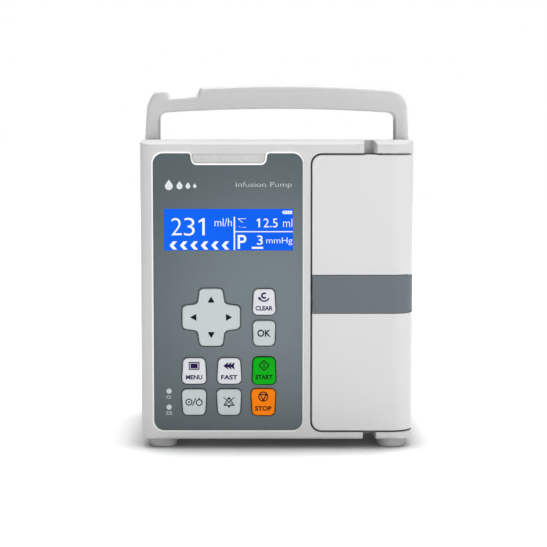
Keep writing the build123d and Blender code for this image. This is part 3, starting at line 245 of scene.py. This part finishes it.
def metal(name, colour, roughness, stretch=(1, 1, 40)):
    """Machined or brushed metal with fine lines along one direction."""
    surface = Surface(name, roughness, metallic=1.0)
    surface.soft_edges(0.2 * MM)
    lines = surface.noise(260, 3.0, stretch)
    surface.bump(lines, 0.12, 0.02 * MM)
    tint = surface.colours(surface.spread(lines, 0.0, 1.0), colour, shaded(colour, 0.86))
    rough = surface.spread(surface.noise(120, 2.0), roughness - 0.06, roughness + 0.1)
    return surface.finish(tint, rough)


def powder_coat(name, colour):
    """Powder-coated casting with a fine pebble."""
    surface = Surface(name, 0.5)
    surface.soft_edges(0.5 * MM)
    surface.bump(surface.noise(900, 3.0), 0.45, 0.08 * MM)
    tint = surface.colours(surface.spread(surface.noise(60, 3.0), 0.0, 1.0), colour, shaded(colour, 0.93))
    rough = surface.spread(surface.noise(500, 3.0), 0.42, 0.6)
    return surface.finish(tint, rough)


def board(name, colour):
    """Solder mask over copper tracks."""
    surface = Surface(name, 0.3, coat=0.3)
    tracks = surface.nodes.new("ShaderNodeTexBrick")
    tracks.inputs["Scale"].default_value = 220
    tracks.inputs["Mortar Size"].default_value = 0.012
    tracks.inputs["Color1"].default_value = shaded(colour, 0.9)
    tracks.inputs["Color2"].default_value = colour
    tracks.inputs["Mortar"].default_value = shaded(colour, 1.7)
    surface.links.new(surface.place, tracks.inputs["Vector"])
    surface.bump(tracks.outputs["Fac"], 0.3, 0.03 * MM)
    rough = surface.spread(surface.noise(300, 2.0), 0.24, 0.38)
    return surface.finish(tracks.outputs["Color"], rough)


def translucent(name, colour, roughness=0.3):
    """Milky light pipe or lens."""
    surface = Surface(name, roughness, coat=0.4, coat_roughness=0.15)
    surface.soft_edges(0.25 * MM)
    surface.shader.inputs["Subsurface Weight"].default_value = 0.35
    surface.shader.inputs["Subsurface Radius"].default_value = (0.8, 0.8, 0.8)
    surface.shader.inputs["Subsurface Scale"].default_value = 1.0 * MM
    surface.bump(surface.noise(1800, 2.0), 0.06, 0.02 * MM)
    tint = surface.colours(surface.spread(surface.noise(70, 2.0), 0.0, 1.0), colour, shaded(colour, 0.96))
    rough = surface.spread(surface.noise(500, 2.0), roughness - 0.05, roughness + 0.06)
    return surface.finish(tint, rough)


def ink(name, colour):
    """Screen-printed ink, slightly uneven."""
    surface = Surface(name, 0.5)
    surface.shader.inputs["Specular IOR Level"].default_value = 0.15
    tint = surface.colours(surface.spread(surface.noise(1400, 3.0), 0.0, 1.0), colour, shaded(colour, 0.9))
    rough = surface.spread(surface.noise(800, 2.0), 0.44, 0.56)
    return surface.finish(tint, rough)


def backlit(name, colour, second, strength, grid=None):
    """Backlit display surface, its light uneven towards the edges; grid gives the pixel pitch."""
    surface = Surface(name, 0.3, coat=0.05)
    surface.shader.inputs["Base Color"].default_value = (0.0, 0.0, 0.01, 1.0)
    surface.shader.inputs["Specular IOR Level"].default_value = 0.08
    surface.shader.inputs["Emission Strength"].default_value = strength
    light = surface.colours(surface.spread(surface.noise(22, 1.0), 0.0, 1.0), colour, second)
    if grid:
        cells = surface.nodes.new("ShaderNodeTexBrick")
        cells.offset = 0.0
        cells.inputs["Scale"].default_value = 1.0
        cells.inputs["Brick Width"].default_value = grid
        cells.inputs["Row Height"].default_value = grid
        cells.inputs["Mortar Size"].default_value = grid * 0.06
        cells.inputs["Color1"].default_value = WHITE
        cells.inputs["Color2"].default_value = WHITE
        cells.inputs["Mortar"].default_value = (0.82, 0.82, 0.86, 1)
        turn = surface.nodes.new("ShaderNodeMapping")
        turn.inputs["Rotation"].default_value = (math.radians(90), 0, 0)
        surface.links.new(surface.place, turn.inputs["Vector"])
        surface.links.new(turn.outputs["Vector"], cells.inputs["Vector"])
        light = surface.multiplied(light, cells.outputs["Color"])
    surface.links.new(light, surface.shader.inputs["Emission Color"])
    return surface.finish(None, surface.spread(surface.noise(60, 2.0), 0.3, 0.36))


MATERIALS = {
    "housing": moulded("housing", srgb(208, 208, 208), 0.40, gap=1.2),
    "door": moulded("door", srgb(216, 216, 216), 0.36, gap=1.2),
    # The panel's second colour is the painted shade towards its rim
    "panel": printed_sheet("panel", srgb(112, 124, 129), srgb(80, 92, 96)),
    "lens_grey": translucent("lens_grey", srgb(206, 206, 207)),
    "clear_window": translucent("clear_window", srgb(200, 215, 230), 0.1),
    "display": moulded("display", srgb(20, 40, 90), 0.3),
    "light_pipe": translucent("light_pipe", srgb(200, 210, 210), 0.25),
    "key_grey": key_cap("key_grey", srgb(196, 206, 206)),
    "key_green": key_cap("key_green", srgb(0, 176, 16), 0.5, specular=0.12),
    "key_orange": key_cap("key_orange", srgb(255, 131, 0), 0.5, specular=0.12),
    "latch": moulded("latch", srgb(99, 107, 113), 0.44, 0.3),
    "foot_rubber": rubber("foot_rubber", srgb(174, 175, 176)),
    "silicone": rubber("silicone", srgb(214, 213, 208)),
    "board": board("board", srgb(20, 96, 52)),
    "steel": metal("steel", srgb(206, 207, 208), 0.3),
    "alloy": metal("alloy", srgb(190, 192, 194), 0.42, (30, 1, 1)),
    "acetal": moulded("acetal", srgb(226, 225, 219), 0.33, 0.25),
    "black_plastic": moulded("black_plastic", srgb(38, 39, 41), 0.45, 0.4, 0.25),
    "battery": moulded("battery", srgb(38, 70, 132), 0.35, 0.5),
    "clamp_paint": powder_coat("clamp_paint", srgb(176, 179, 181)),
    "brass": metal("brass", srgb(214, 178, 104), 0.3),
}
# The menu, fast and clear keys are lighter than the other grey keys
LIGHT_KEYS = ("key_menu", "key_fast", "key_clear")
KEY_LIGHT = key_cap("key_light", srgb(219, 221, 226))
# Painted highlight: pure white and glossier than the housing, for the bevel round the panel
RIM_PAINTED_HIGHLIGHT = moulded("rim_painted_highlight", srgb(255, 255, 255), 0.2, 0.1)
INK_DARK = ink("ink_dark", srgb(32, 14, 72))
INK_BLACK = ink("ink_black", srgb(10, 15, 20))
INK_WHITE = ink("ink_white", srgb(226, 231, 232))
INK_PALE = ink("ink_pale", srgb(184, 194, 197))
SCREEN_LIGHT = backlit("screen_light", (0.0, 0.120, 0.90, 1), (0.0, 0.138, 0.96, 1), 1.0, 0.55 * MM)
GLYPH_LIGHT = backlit("glyph_light", (0.90, 0.95, 1.0, 1), (0.95, 0.98, 1.0, 1), 1.0)

for node, cad_object in NODES.items():
    cad_object.data.materials.clear()
    cad_object.data.materials.append(KEY_LIGHT if node in LIGHT_KEYS else MATERIALS[SLOT_OF[node]])


# --- Flat prints and small trim ----------------------------------------------------------------


def box_outline(x0, z0, x1, z1):
    """Rectangle as a list of points."""
    return [(x0, z0), (x1, z0), (x1, z1), (x0, z1)]


def rounded_outline(x0, z0, x1, z1, radius, steps=5):
    """Rectangle with round corners as a list of points."""
    points = []
    for centre_x, centre_z, start in (
        (x1 - radius, z0 + radius, -90), (x1 - radius, z1 - radius, 0),
        (x0 + radius, z1 - radius, 90), (x0 + radius, z0 + radius, 180),
    ):
        for step in range(steps + 1):
            angle = math.radians(start + 90 * step / steps)
            points.append((centre_x + radius * math.cos(angle), centre_z + radius * math.sin(angle)))
    return points


def arc_band(x, z, radius, width, start, end, steps=24):
    """Band along an arc, angles in degrees, as a list of points."""
    outside, inside = radius + width / 2, radius - width / 2
    outer, inner = [], []
    for step in range(steps + 1):
        angle = math.radians(start + (end - start) * step / steps)
        outer.append((x + outside * math.cos(angle), z + outside * math.sin(angle)))
        inner.append((x + inside * math.cos(angle), z + inside * math.sin(angle)))
    return outer + inner[::-1]


def ring(x, z, radius, width):
    """Full ring as two bands."""
    return [arc_band(x, z, radius, width, 0, 180), arc_band(x, z, radius, width, 180, 360)]


def disc(x, z, radius, steps=28):
    """Circle as a list of points."""
    return [
        (x + radius * math.cos(2 * math.pi * k / steps), z + radius * math.sin(2 * math.pi * k / steps))
        for k in range(steps)
    ]


def stroke(x0, z0, x1, z1, width):
    """Straight line of a given width as a list of points."""
    length = math.hypot(x1 - x0, z1 - z0)
    side_x, side_z = -(z1 - z0) / length * width / 2, (x1 - x0) / length * width / 2
    return [
        (x0 + side_x, z0 + side_z), (x0 - side_x, z0 - side_z),
        (x1 - side_x, z1 - side_z), (x1 + side_x, z1 + side_z),
    ]


def frame_band(x0, z0, x1, z1, width):
    """Outline of a rectangle as four strokes."""
    low, high = z0 + width, z1 - width
    return [
        box_outline(x0, z0, x1, low), box_outline(x0, high, x1, z1),
        box_outline(x0, low, x0 + width, high), box_outline(x1 - width, low, x1, high),
    ]


def add_outlines(mesh, outlines, y, thickness):
    """Add upright slabs with the given outlines (millimetres across and up) to a bmesh."""
    for outline in outlines:
        base = [mesh.verts.new((x * MM, y, z * MM)) for x, z in outline]
        face = mesh.faces.new(base)
        raised = bmesh.ops.extrude_face_region(mesh, geom=[face])
        bmesh.ops.translate(
            mesh, vec=(0, -thickness, 0),
            verts=[item for item in raised["geom"] if isinstance(item, bmesh.types.BMVert)],
        )


def add_text(mesh, text, centre_x, centre_z, height, y, thickness, width, bold=0.0):
    """Add upright lettering of a total height and width in millimetres; bold swells or thins its strokes."""
    curve = bpy.data.curves.new("lettering", "FONT")
    curve.body = text
    curve.offset = bold
    curve.resolution_u = 6
    holder = bpy.data.objects.new("lettering", curve)
    flat = bpy.data.meshes.new_from_object(holder)
    xs = [vertex.co.x for vertex in flat.vertices]
    zs = [vertex.co.y for vertex in flat.vertices]
    scale_z = height / (max(zs) - min(zs))
    scale_x = width / (max(xs) - min(xs))
    mid_x, mid_z = (max(xs) + min(xs)) / 2, (max(zs) + min(zs)) / 2
    letters = bmesh.new()
    letters.from_mesh(flat)
    for vertex in letters.verts:
        across = centre_x + (vertex.co.x - mid_x) * scale_x
        up = centre_z + (vertex.co.y - mid_z) * scale_z
        vertex.co = (across * MM, y, up * MM)
    raised = bmesh.ops.extrude_face_region(letters, geom=letters.faces[:])
    bmesh.ops.translate(
        letters, vec=(0, -thickness, 0),
        verts=[item for item in raised["geom"] if isinstance(item, bmesh.types.BMVert)],
    )
    finished = bpy.data.meshes.new("lettering")
    letters.to_mesh(finished)
    letters.free()
    mesh.from_mesh(finished)
    bpy.data.objects.remove(holder)
    bpy.data.curves.remove(curve)
    bpy.data.meshes.remove(flat)
    bpy.data.meshes.remove(finished)


def as_piece(name, mesh, material, body):
    """Turn a bmesh into a piece that rides on a body."""
    bmesh.ops.recalc_face_normals(mesh, faces=mesh.faces[:])
    data = bpy.data.meshes.new(name)
    mesh.to_mesh(data)
    mesh.free()
    data.materials.append(material)
    piece = bpy.data.objects.new(name, data)
    bpy.context.scene.collection.objects.link(piece)
    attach(piece, body)
    return piece


def node_centre(node):
    """Middle of a CAD node in millimetres, across and up."""
    low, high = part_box(node)
    return (low.x + high.x) / 2 / MM, (low.z + high.z) / 2 / MM


# --- Display -----------------------------------------------------------------------------------


def build_display():
    """Lit screen with the readings on it, in place of the plain window."""
    low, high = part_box("display_window")
    x0, z0 = low.x / MM, low.z / MM
    x1, z1 = high.x / MM, high.z / MM
    face_y = low.y + 0.02 * MM
    slab = bmesh.new()
    add_outlines(slab, [rounded_outline(x0, z0, x1, z1, 0.25)], high.y, high.y - face_y)
    screen = as_piece("display_screen", slab, SCREEN_LIGHT, "pump_body")
    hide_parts("display_window")
    marks = bmesh.new()

    def text(words, left, right, bottom, top, bold=0.0):
        add_text(
            marks, words, x0 + (left + right) / 2, z0 + (bottom + top) / 2, top - bottom, face_y, PRINT_T / 2,
            right - left, bold,
        )

    def outline(*outlines):
        placed = [[(x0 + x, z0 + z) for x, z in points] for points in outlines]
        add_outlines(marks, placed, face_y, PRINT_T / 2)

    # Places on the display are millimetres from its lower left corner.
    # Rate with its unit, and the row of arrows that shows the flow
    text("2", 3.95, 9.7, 8.3, 17.7, -0.012)
    text("3", 10.9, 16.7, 8.1, 17.8, -0.012)
    outline([
        (20.9, 8.3), (22.2, 8.3), (22.2, 17.7), (21.2, 17.7), (18.9, 16.2), (18.9, 15.0), (20.9, 16.2),
    ])
    text("ml/h", 27.6, 37.0, 13.2, 17.6, -0.006)
    arrow_w, arrow_h, arrow_t = 4.1, 4.5, 2.15
    first_arrow_x, arrow_pitch, arrow_z = 2.95, 5.7, 0.5
    for arrow in range(6):
        tip = first_arrow_x + arrow_pitch * arrow
        outline([
            (tip, arrow_z + arrow_h / 2), (tip + arrow_w - arrow_t, arrow_z), (tip + arrow_w, arrow_z),
            (tip + arrow_t, arrow_z + arrow_h / 2), (tip + arrow_w, arrow_z + arrow_h),
            (tip + arrow_w - arrow_t, arrow_z + arrow_h),
        ])
    # Dividers, total volume and line pressure
    outline(box_outline(38.0, 0.2, 38.8, 18.4), box_outline(38.8, 10.0, 70.3, 10.55))
    text("Σ", 40.2, 44.8, 12.5, 17.5, -0.022)
    outline([
        (51.5, 12.7), (52.4, 12.7), (52.4, 17.5), (51.7, 17.5), (50.6, 16.7), (50.6, 15.9), (51.5, 16.4),
    ])
    text("2.5", 54.3, 62.0, 12.6, 17.5)
    text("ml", 65.0, 70.0, 12.8, 17.4, -0.01)
    text("P", 40.2, 44.9, 0.9, 8.5, 0.01)
    text("3", 50.7, 53.9, 3.1, 8.2, 0.005)
    outline(box_outline(47.9, 0.9, 54.1, 2.0))
    text("mmHg", 55.8, 70.1, 2.9, 7.1, -0.006)
    # Battery state
    outline(*frame_band(65.0, 19.9, 69.9, 21.7, 0.45), box_outline(64.5, 20.4, 65.0, 21.2))
    outline(*[box_outline(65.8 + 0.95 * bar, 20.4, 66.5 + 0.95 * bar, 21.2) for bar in range(4)])
    as_piece("display_readings", marks, GLYPH_LIGHT, "pump_body")


# --- Key legends -------------------------------------------------------------------------------


def menu_icon(x, z):
    """Window with a filled list."""
    return [
        *frame_band(x - 2.95, z - 2.15, x + 2.95, z + 2.15, 0.55),
        rounded_outline(x - 1.95, z - 1.3, x + 1.95, z + 1.3, 0.3),
    ]


def fast_icon(x, z):
    """Three arrowheads one behind the other."""
    heads = []
    for shift in (-1.75, 0.0, 1.75):
        tip, back = x + shift - 1.5, x + shift + 1.3
        heads.append([(tip, z), (back, z - 2.15), (back - 0.55, z), (back, z + 2.15)])
    return heads


def clear_icon(x, z):
    """Letter C over a curved arrow."""
    arrow = [(x - 3.3, z + 0.6), (x - 1.5, z - 0.1), (x - 2.9, z - 1.5)]
    return [
        arc_band(x + 0.1, z + 1.15, 1.3, 0.95, 48, 312),
        arc_band(x + 0.1, z + 0.9, 2.8, 0.75, 210, 335),
        arrow,
    ]


def start_icon(x, z):
    """Diamond with a bar in it."""
    reach = 2.75
    corners = [(x - reach, z), (x, z - reach), (x + reach, z), (x, z + reach)]
    sides = [stroke(*here, *there, 0.62) for here, there in zip(corners, corners[1:] + corners[:1])]
    return [*sides, box_outline(x - 0.32, z - 1.3, x + 0.32, z + 1.3)]


def stop_icon(x, z):
    """Ring round a triangle that points down."""
    triangle = [(x - 1.75, z + 1.15), (x + 1.75, z + 1.15), (x, z - 2.1)]
    sides = [stroke(*here, *there, 0.6) for here, there in zip(triangle, triangle[1:] + triangle[:1])]
    return [*ring(x, z, 2.5, 0.6), *sides]


def power_icon(x, z):
    """On and off symbols with a slash between them."""
    return [
        *ring(x - 2.85, z, 1.65, 0.55), disc(x - 2.85, z, 0.5),
        stroke(x - 0.85, z - 2.0, x + 0.85, z + 2.1, 0.5),
        *ring(x + 2.85, z - 0.2, 1.6, 0.55), box_outline(x + 2.57, z + 1.3, x + 3.13, z + 2.5),
    ]


def mute_icon(x, z):
    """Crossed-out bell."""
    return [
        stroke(x - 2.9, z - 1.9, x + 2.9, z - 1.9, 0.5), stroke(x - 2.7, z - 1.8, x - 0.5, z + 1.9, 0.5),
        stroke(x + 2.7, z - 1.8, x + 0.5, z + 1.9, 0.5), disc(x, z + 2.0, 0.65), disc(x, z - 2.6, 0.55),
        stroke(x - 3.0, z + 2.6, x + 1.9, z - 1.6, 0.42), stroke(x + 3.0, z + 2.6, x - 1.9, z - 1.6, 0.42),
    ]


# Key: icon maker, the icon's height over the key's middle, word, and ink
KEY_LEGENDS = {
    "menu": (menu_icon, 2.8, "MENU", INK_DARK),
    "fast": (fast_icon, 2.8, "FAST", INK_DARK),
    "clear": (clear_icon, 2.3, "CLEAR", INK_DARK),
    "start": (start_icon, 2.9, "START", INK_BLACK),
    "stop": (stop_icon, 3.1, "STOP", INK_BLACK),
    "power": (power_icon, 0.0, None, INK_BLACK),
    "mute": (mute_icon, 0.1, None, INK_BLACK),
}


def build_key_legends():
    """Icon and word on each key's cap."""
    for name, (icon, rise, word, colour) in KEY_LEGENDS.items():
        node = f"key_{name}"
        x, z = node_centre(node)
        face_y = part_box(node)[0].y
        mesh = bmesh.new()
        add_outlines(mesh, icon(x, z + rise), face_y, PRINT_T)
        if word:
            add_text(mesh, word, x, z - 3.5, 2.5, face_y, PRINT_T, min(9.4, 2.25 * len(word)), 0.03)
        as_piece(f"legend_{name}", mesh, colour, node)
    x, z = node_centre("key_ok")
    mesh = bmesh.new()
    add_text(mesh, "OK", x, z, 3.9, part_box("key_ok")[0].y, PRINT_T, 7.3, 0.022)
    as_piece("legend_ok", mesh, INK_BLACK, "key_ok")


def build_pad_arrows():
    """Four black arrowheads on the four-way key."""
    x, z = node_centre("key_four_way")
    face_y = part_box("key_four_way")[0].y
    reach, half, deep = 9.8, 1.95, 3.4
    mesh = bmesh.new()
    for turn in range(4):
        cosine, sine = math.cos(turn * math.pi / 2), math.sin(turn * math.pi / 2)
        points = [(-half, reach - deep / 2), (half, reach - deep / 2), (0, reach + deep / 2)]
        turned = [(x + across * cosine - up * sine, z + across * sine + up * cosine) for across, up in points]
        add_outlines(mesh, [turned], face_y, PRINT_T)
    as_piece("legend_four_way", mesh, INK_BLACK, "four_way_key")


# --- Panel prints ------------------------------------------------------------------------------


def drop_outline(x, z, size):
    """Liquid drop, pointed at the top."""
    steps, first_angle, last_angle = 18, 28, -208
    points = [(x, z + 1.55 * size)]
    for step in range(steps + 1):
        angle = math.radians(first_angle + (last_angle - first_angle) * step / steps)
        points.append((x + size * math.cos(angle) * 0.92, z + size * math.sin(angle) * 0.92))
    return points


def build_panel_prints():
    """Plain name of the device, a drop mark and the symbols by the two status lights."""
    panel_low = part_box("panel_overlay")[0]
    face_y = panel_low.y
    left, bottom = panel_low.x / MM, panel_low.z / MM
    drops = bmesh.new()
    drops_z = bottom + 134.2
    for across, size in ((8.6, 2.3), (14.4, 1.8), (19.0, 1.4), (22.7, 1.0)):
        add_outlines(drops, [drop_outline(left + across, drops_z, size)], face_y, PRINT_T)
    as_piece("print_drops", drops, INK_WHITE, "pump_body")
    words = bmesh.new()
    name_x, name_z, name_height, name_width = left + 60.3, bottom + 134.8, 3.6, 30.6
    add_text(words, "Infusion Pump", name_x, name_z, name_height, face_y, PRINT_T, name_width, 0.004)
    # Plug symbol under the upper light and battery symbol under the lower one
    light_x = node_centre("status_light_pipes")[0]
    plug_z, cell_z = 28.2, 19.3
    add_outlines(words, [
        *frame_band(light_x - 1.2, plug_z - 0.9, light_x + 0.5, plug_z + 0.9, 0.3),
        stroke(light_x + 0.5, plug_z + 0.5, light_x + 1.4, plug_z + 0.5, 0.3),
        stroke(light_x + 0.5, plug_z - 0.5, light_x + 1.4, plug_z - 0.5, 0.3),
        stroke(light_x - 2.0, plug_z, light_x - 1.2, plug_z, 0.3),
        *frame_band(light_x - 1.5, cell_z - 1.0, light_x + 1.5, cell_z + 0.7, 0.3),
        box_outline(light_x - 1.1, cell_z + 0.7, light_x - 0.5, cell_z + 1.1),
        box_outline(light_x + 0.5, cell_z + 0.7, light_x + 1.1, cell_z + 1.1),
        stroke(light_x - 1.0, cell_z - 0.15, light_x - 0.3, cell_z - 0.15, 0.25),
        stroke(light_x + 0.3, cell_z - 0.15, light_x + 1.0, cell_z - 0.15, 0.25),
        stroke(light_x + 0.65, cell_z - 0.5, light_x + 0.65, cell_z + 0.2, 0.25),
    ], face_y, PRINT_T)
    as_piece("print_words", words, INK_PALE, "pump_body")


def build_panel_rim():
    """Painted highlight round the panel's pocket: a white, glossy copy of the housing's own chamfer, laid
    over it.
    """
    low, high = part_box("panel_overlay")
    margin, deepest, lift = 2 * MM, 1.0 * MM, 0.02 * MM
    bevel_normal_y, tolerance = -math.sqrt(0.5), 0.02
    copy = bmesh.new()
    copy.from_mesh(NODES["front_housing"].data)

    def on_bevel(face):
        middle = face.calc_center_median()
        near_x = low.x - margin < middle.x < high.x + margin
        near_z = low.z - margin < middle.z < high.z + margin
        sloped = abs(face.normal.y - bevel_normal_y) < tolerance
        return near_x and near_z and middle.y < FRONT_Y + deepest and sloped

    bmesh.ops.delete(copy, geom=[face for face in copy.faces if not on_bevel(face)], context="FACES")
    for vertex in copy.verts:
        vertex.co += vertex.normal * lift
        vertex.co.y = max(vertex.co.y, FRONT_Y)
    as_piece("panel_rim_painted_highlight", copy, RIM_PAINTED_HIGHLIGHT, "pump_body")


build_display()
build_panel_rim()
build_key_legends()
build_pad_arrows()
build_panel_prints()


# --- Studio ------------------------------------------------------------------------------------

PUMP_MIDDLE = Vector((0, 0, 0.09))
LIGHT_FROM_LEFT, LIGHT_FROM_RIGHT = 0.12, 0.32


def build_floor():
    """Pale, faintly glossy table top, just under the feet, with painted shadow round the pump and a painted
    glow away from it.
    """
    bpy.ops.mesh.primitive_plane_add(size=8, location=(0, 0, -0.2 * MM))
    floor = bpy.context.object
    floor.name = "studio_floor"
    surface = Surface("studio_floor", 0.16)
    surface.shader.inputs["Specular IOR Level"].default_value = 0.22
    drift = surface.spread(surface.noise(3, 2.0), 0.0, 1.0)
    tint = surface.colours(drift, (0.94, 0.94, 0.94, 1), (0.96, 0.96, 0.96, 1))
    # Painted shade: the floor's colour darkens close round and under the pump
    tint = surface.painted_gap_shade(tint, 14 * MM, 0.25)
    # Painted light: the sheet glows, more so away from the pump, so that it runs into the white surround
    away = surface.ramp(surface.distance_from((0, 0, 0), (1, 1, 1)), 0.2, 1.5)
    glow = surface.colours(away, shaded(WHITE, 0.45), WHITE)
    # Twice over, for a painted dark shadow under the casing
    for _ in range(2):
        glow = surface.painted_gap_shade(glow, 28 * MM, 0.0)
    surface.links.new(glow, surface.shader.inputs["Emission Color"])
    surface.shader.inputs["Emission Strength"].default_value = 1.0
    floor.data.materials.append(surface.finish(tint))


def softbox(name, place, width, height, power):
    """Rectangular area light aimed at the pump's middle."""
    light = bpy.data.lights.new(name, "AREA")
    light.shape = "RECTANGLE"
    light.size, light.size_y = width, height
    light.energy = power
    holder = bpy.data.objects.new(name, light)
    holder.location = place
    holder.rotation_euler = (PUMP_MIDDLE - Vector(place)).to_track_quat("-Z", "Y").to_euler()
    bpy.context.scene.collection.objects.link(holder)


def build_studio():
    """White surround, dimmer on the left, with softboxes overhead, front right and, weakly, front left."""
    build_floor()
    world = bpy.data.worlds.new("studio")
    world.use_nodes = True
    nodes, links = world.node_tree.nodes, world.node_tree.links
    direction = nodes.new("ShaderNodeSeparateXYZ")
    links.new(nodes.new("ShaderNodeTexCoord").outputs["Generated"], direction.inputs["Vector"])
    side = nodes.new("ShaderNodeMapRange")
    side.inputs["From Min"].default_value = -1.0
    side.inputs["To Min"].default_value = LIGHT_FROM_LEFT
    side.inputs["To Max"].default_value = LIGHT_FROM_RIGHT
    links.new(direction.outputs["X"], side.inputs["Value"])
    # The surround itself is seen at full white
    path = nodes.new("ShaderNodeLightPath")
    strength = nodes.new("ShaderNodeMapRange")
    links.new(side.outputs["Result"], strength.inputs["To Min"])
    links.new(path.outputs["Is Camera Ray"], strength.inputs["Value"])
    links.new(strength.outputs["Result"], nodes["Background"].inputs["Strength"])
    nodes["Background"].inputs["Color"].default_value = WHITE
    bpy.context.scene.world = world
    softbox("softbox_top", (0.05, 0.3, 1.2), 1.4, 1.0, 20)
    softbox("softbox_right", (0.6, -1.4, 0.7), 0.8, 1.0, 7.5)
    softbox("softbox_left", (-1.3, -1.0, 0.6), 0.6, 0.9, 0.5)
    bpy.context.scene.view_settings.view_transform = "Standard"
    bpy.context.scene.view_settings.look = "None"


def build_camera():
    """Camera in front of the pump, tipped slightly down."""
    camera = bpy.data.cameras.new("camera")
    camera.sensor_width = 36.0
    camera.lens = 102.7
    holder = bpy.data.objects.new("camera", camera)
    distance, height, aim_height, aside = 0.85, 0.164, 0.0965, -0.0019
    holder.location = (aside, FRONT_Y - distance, height)
    aim = Vector((aside, FRONT_Y, aim_height))
    holder.rotation_euler = (aim - holder.location).to_track_quat("-Z", "Y").to_euler()
    bpy.context.scene.collection.objects.link(holder)
    bpy.context.scene.camera = holder


build_studio()
build_camera()
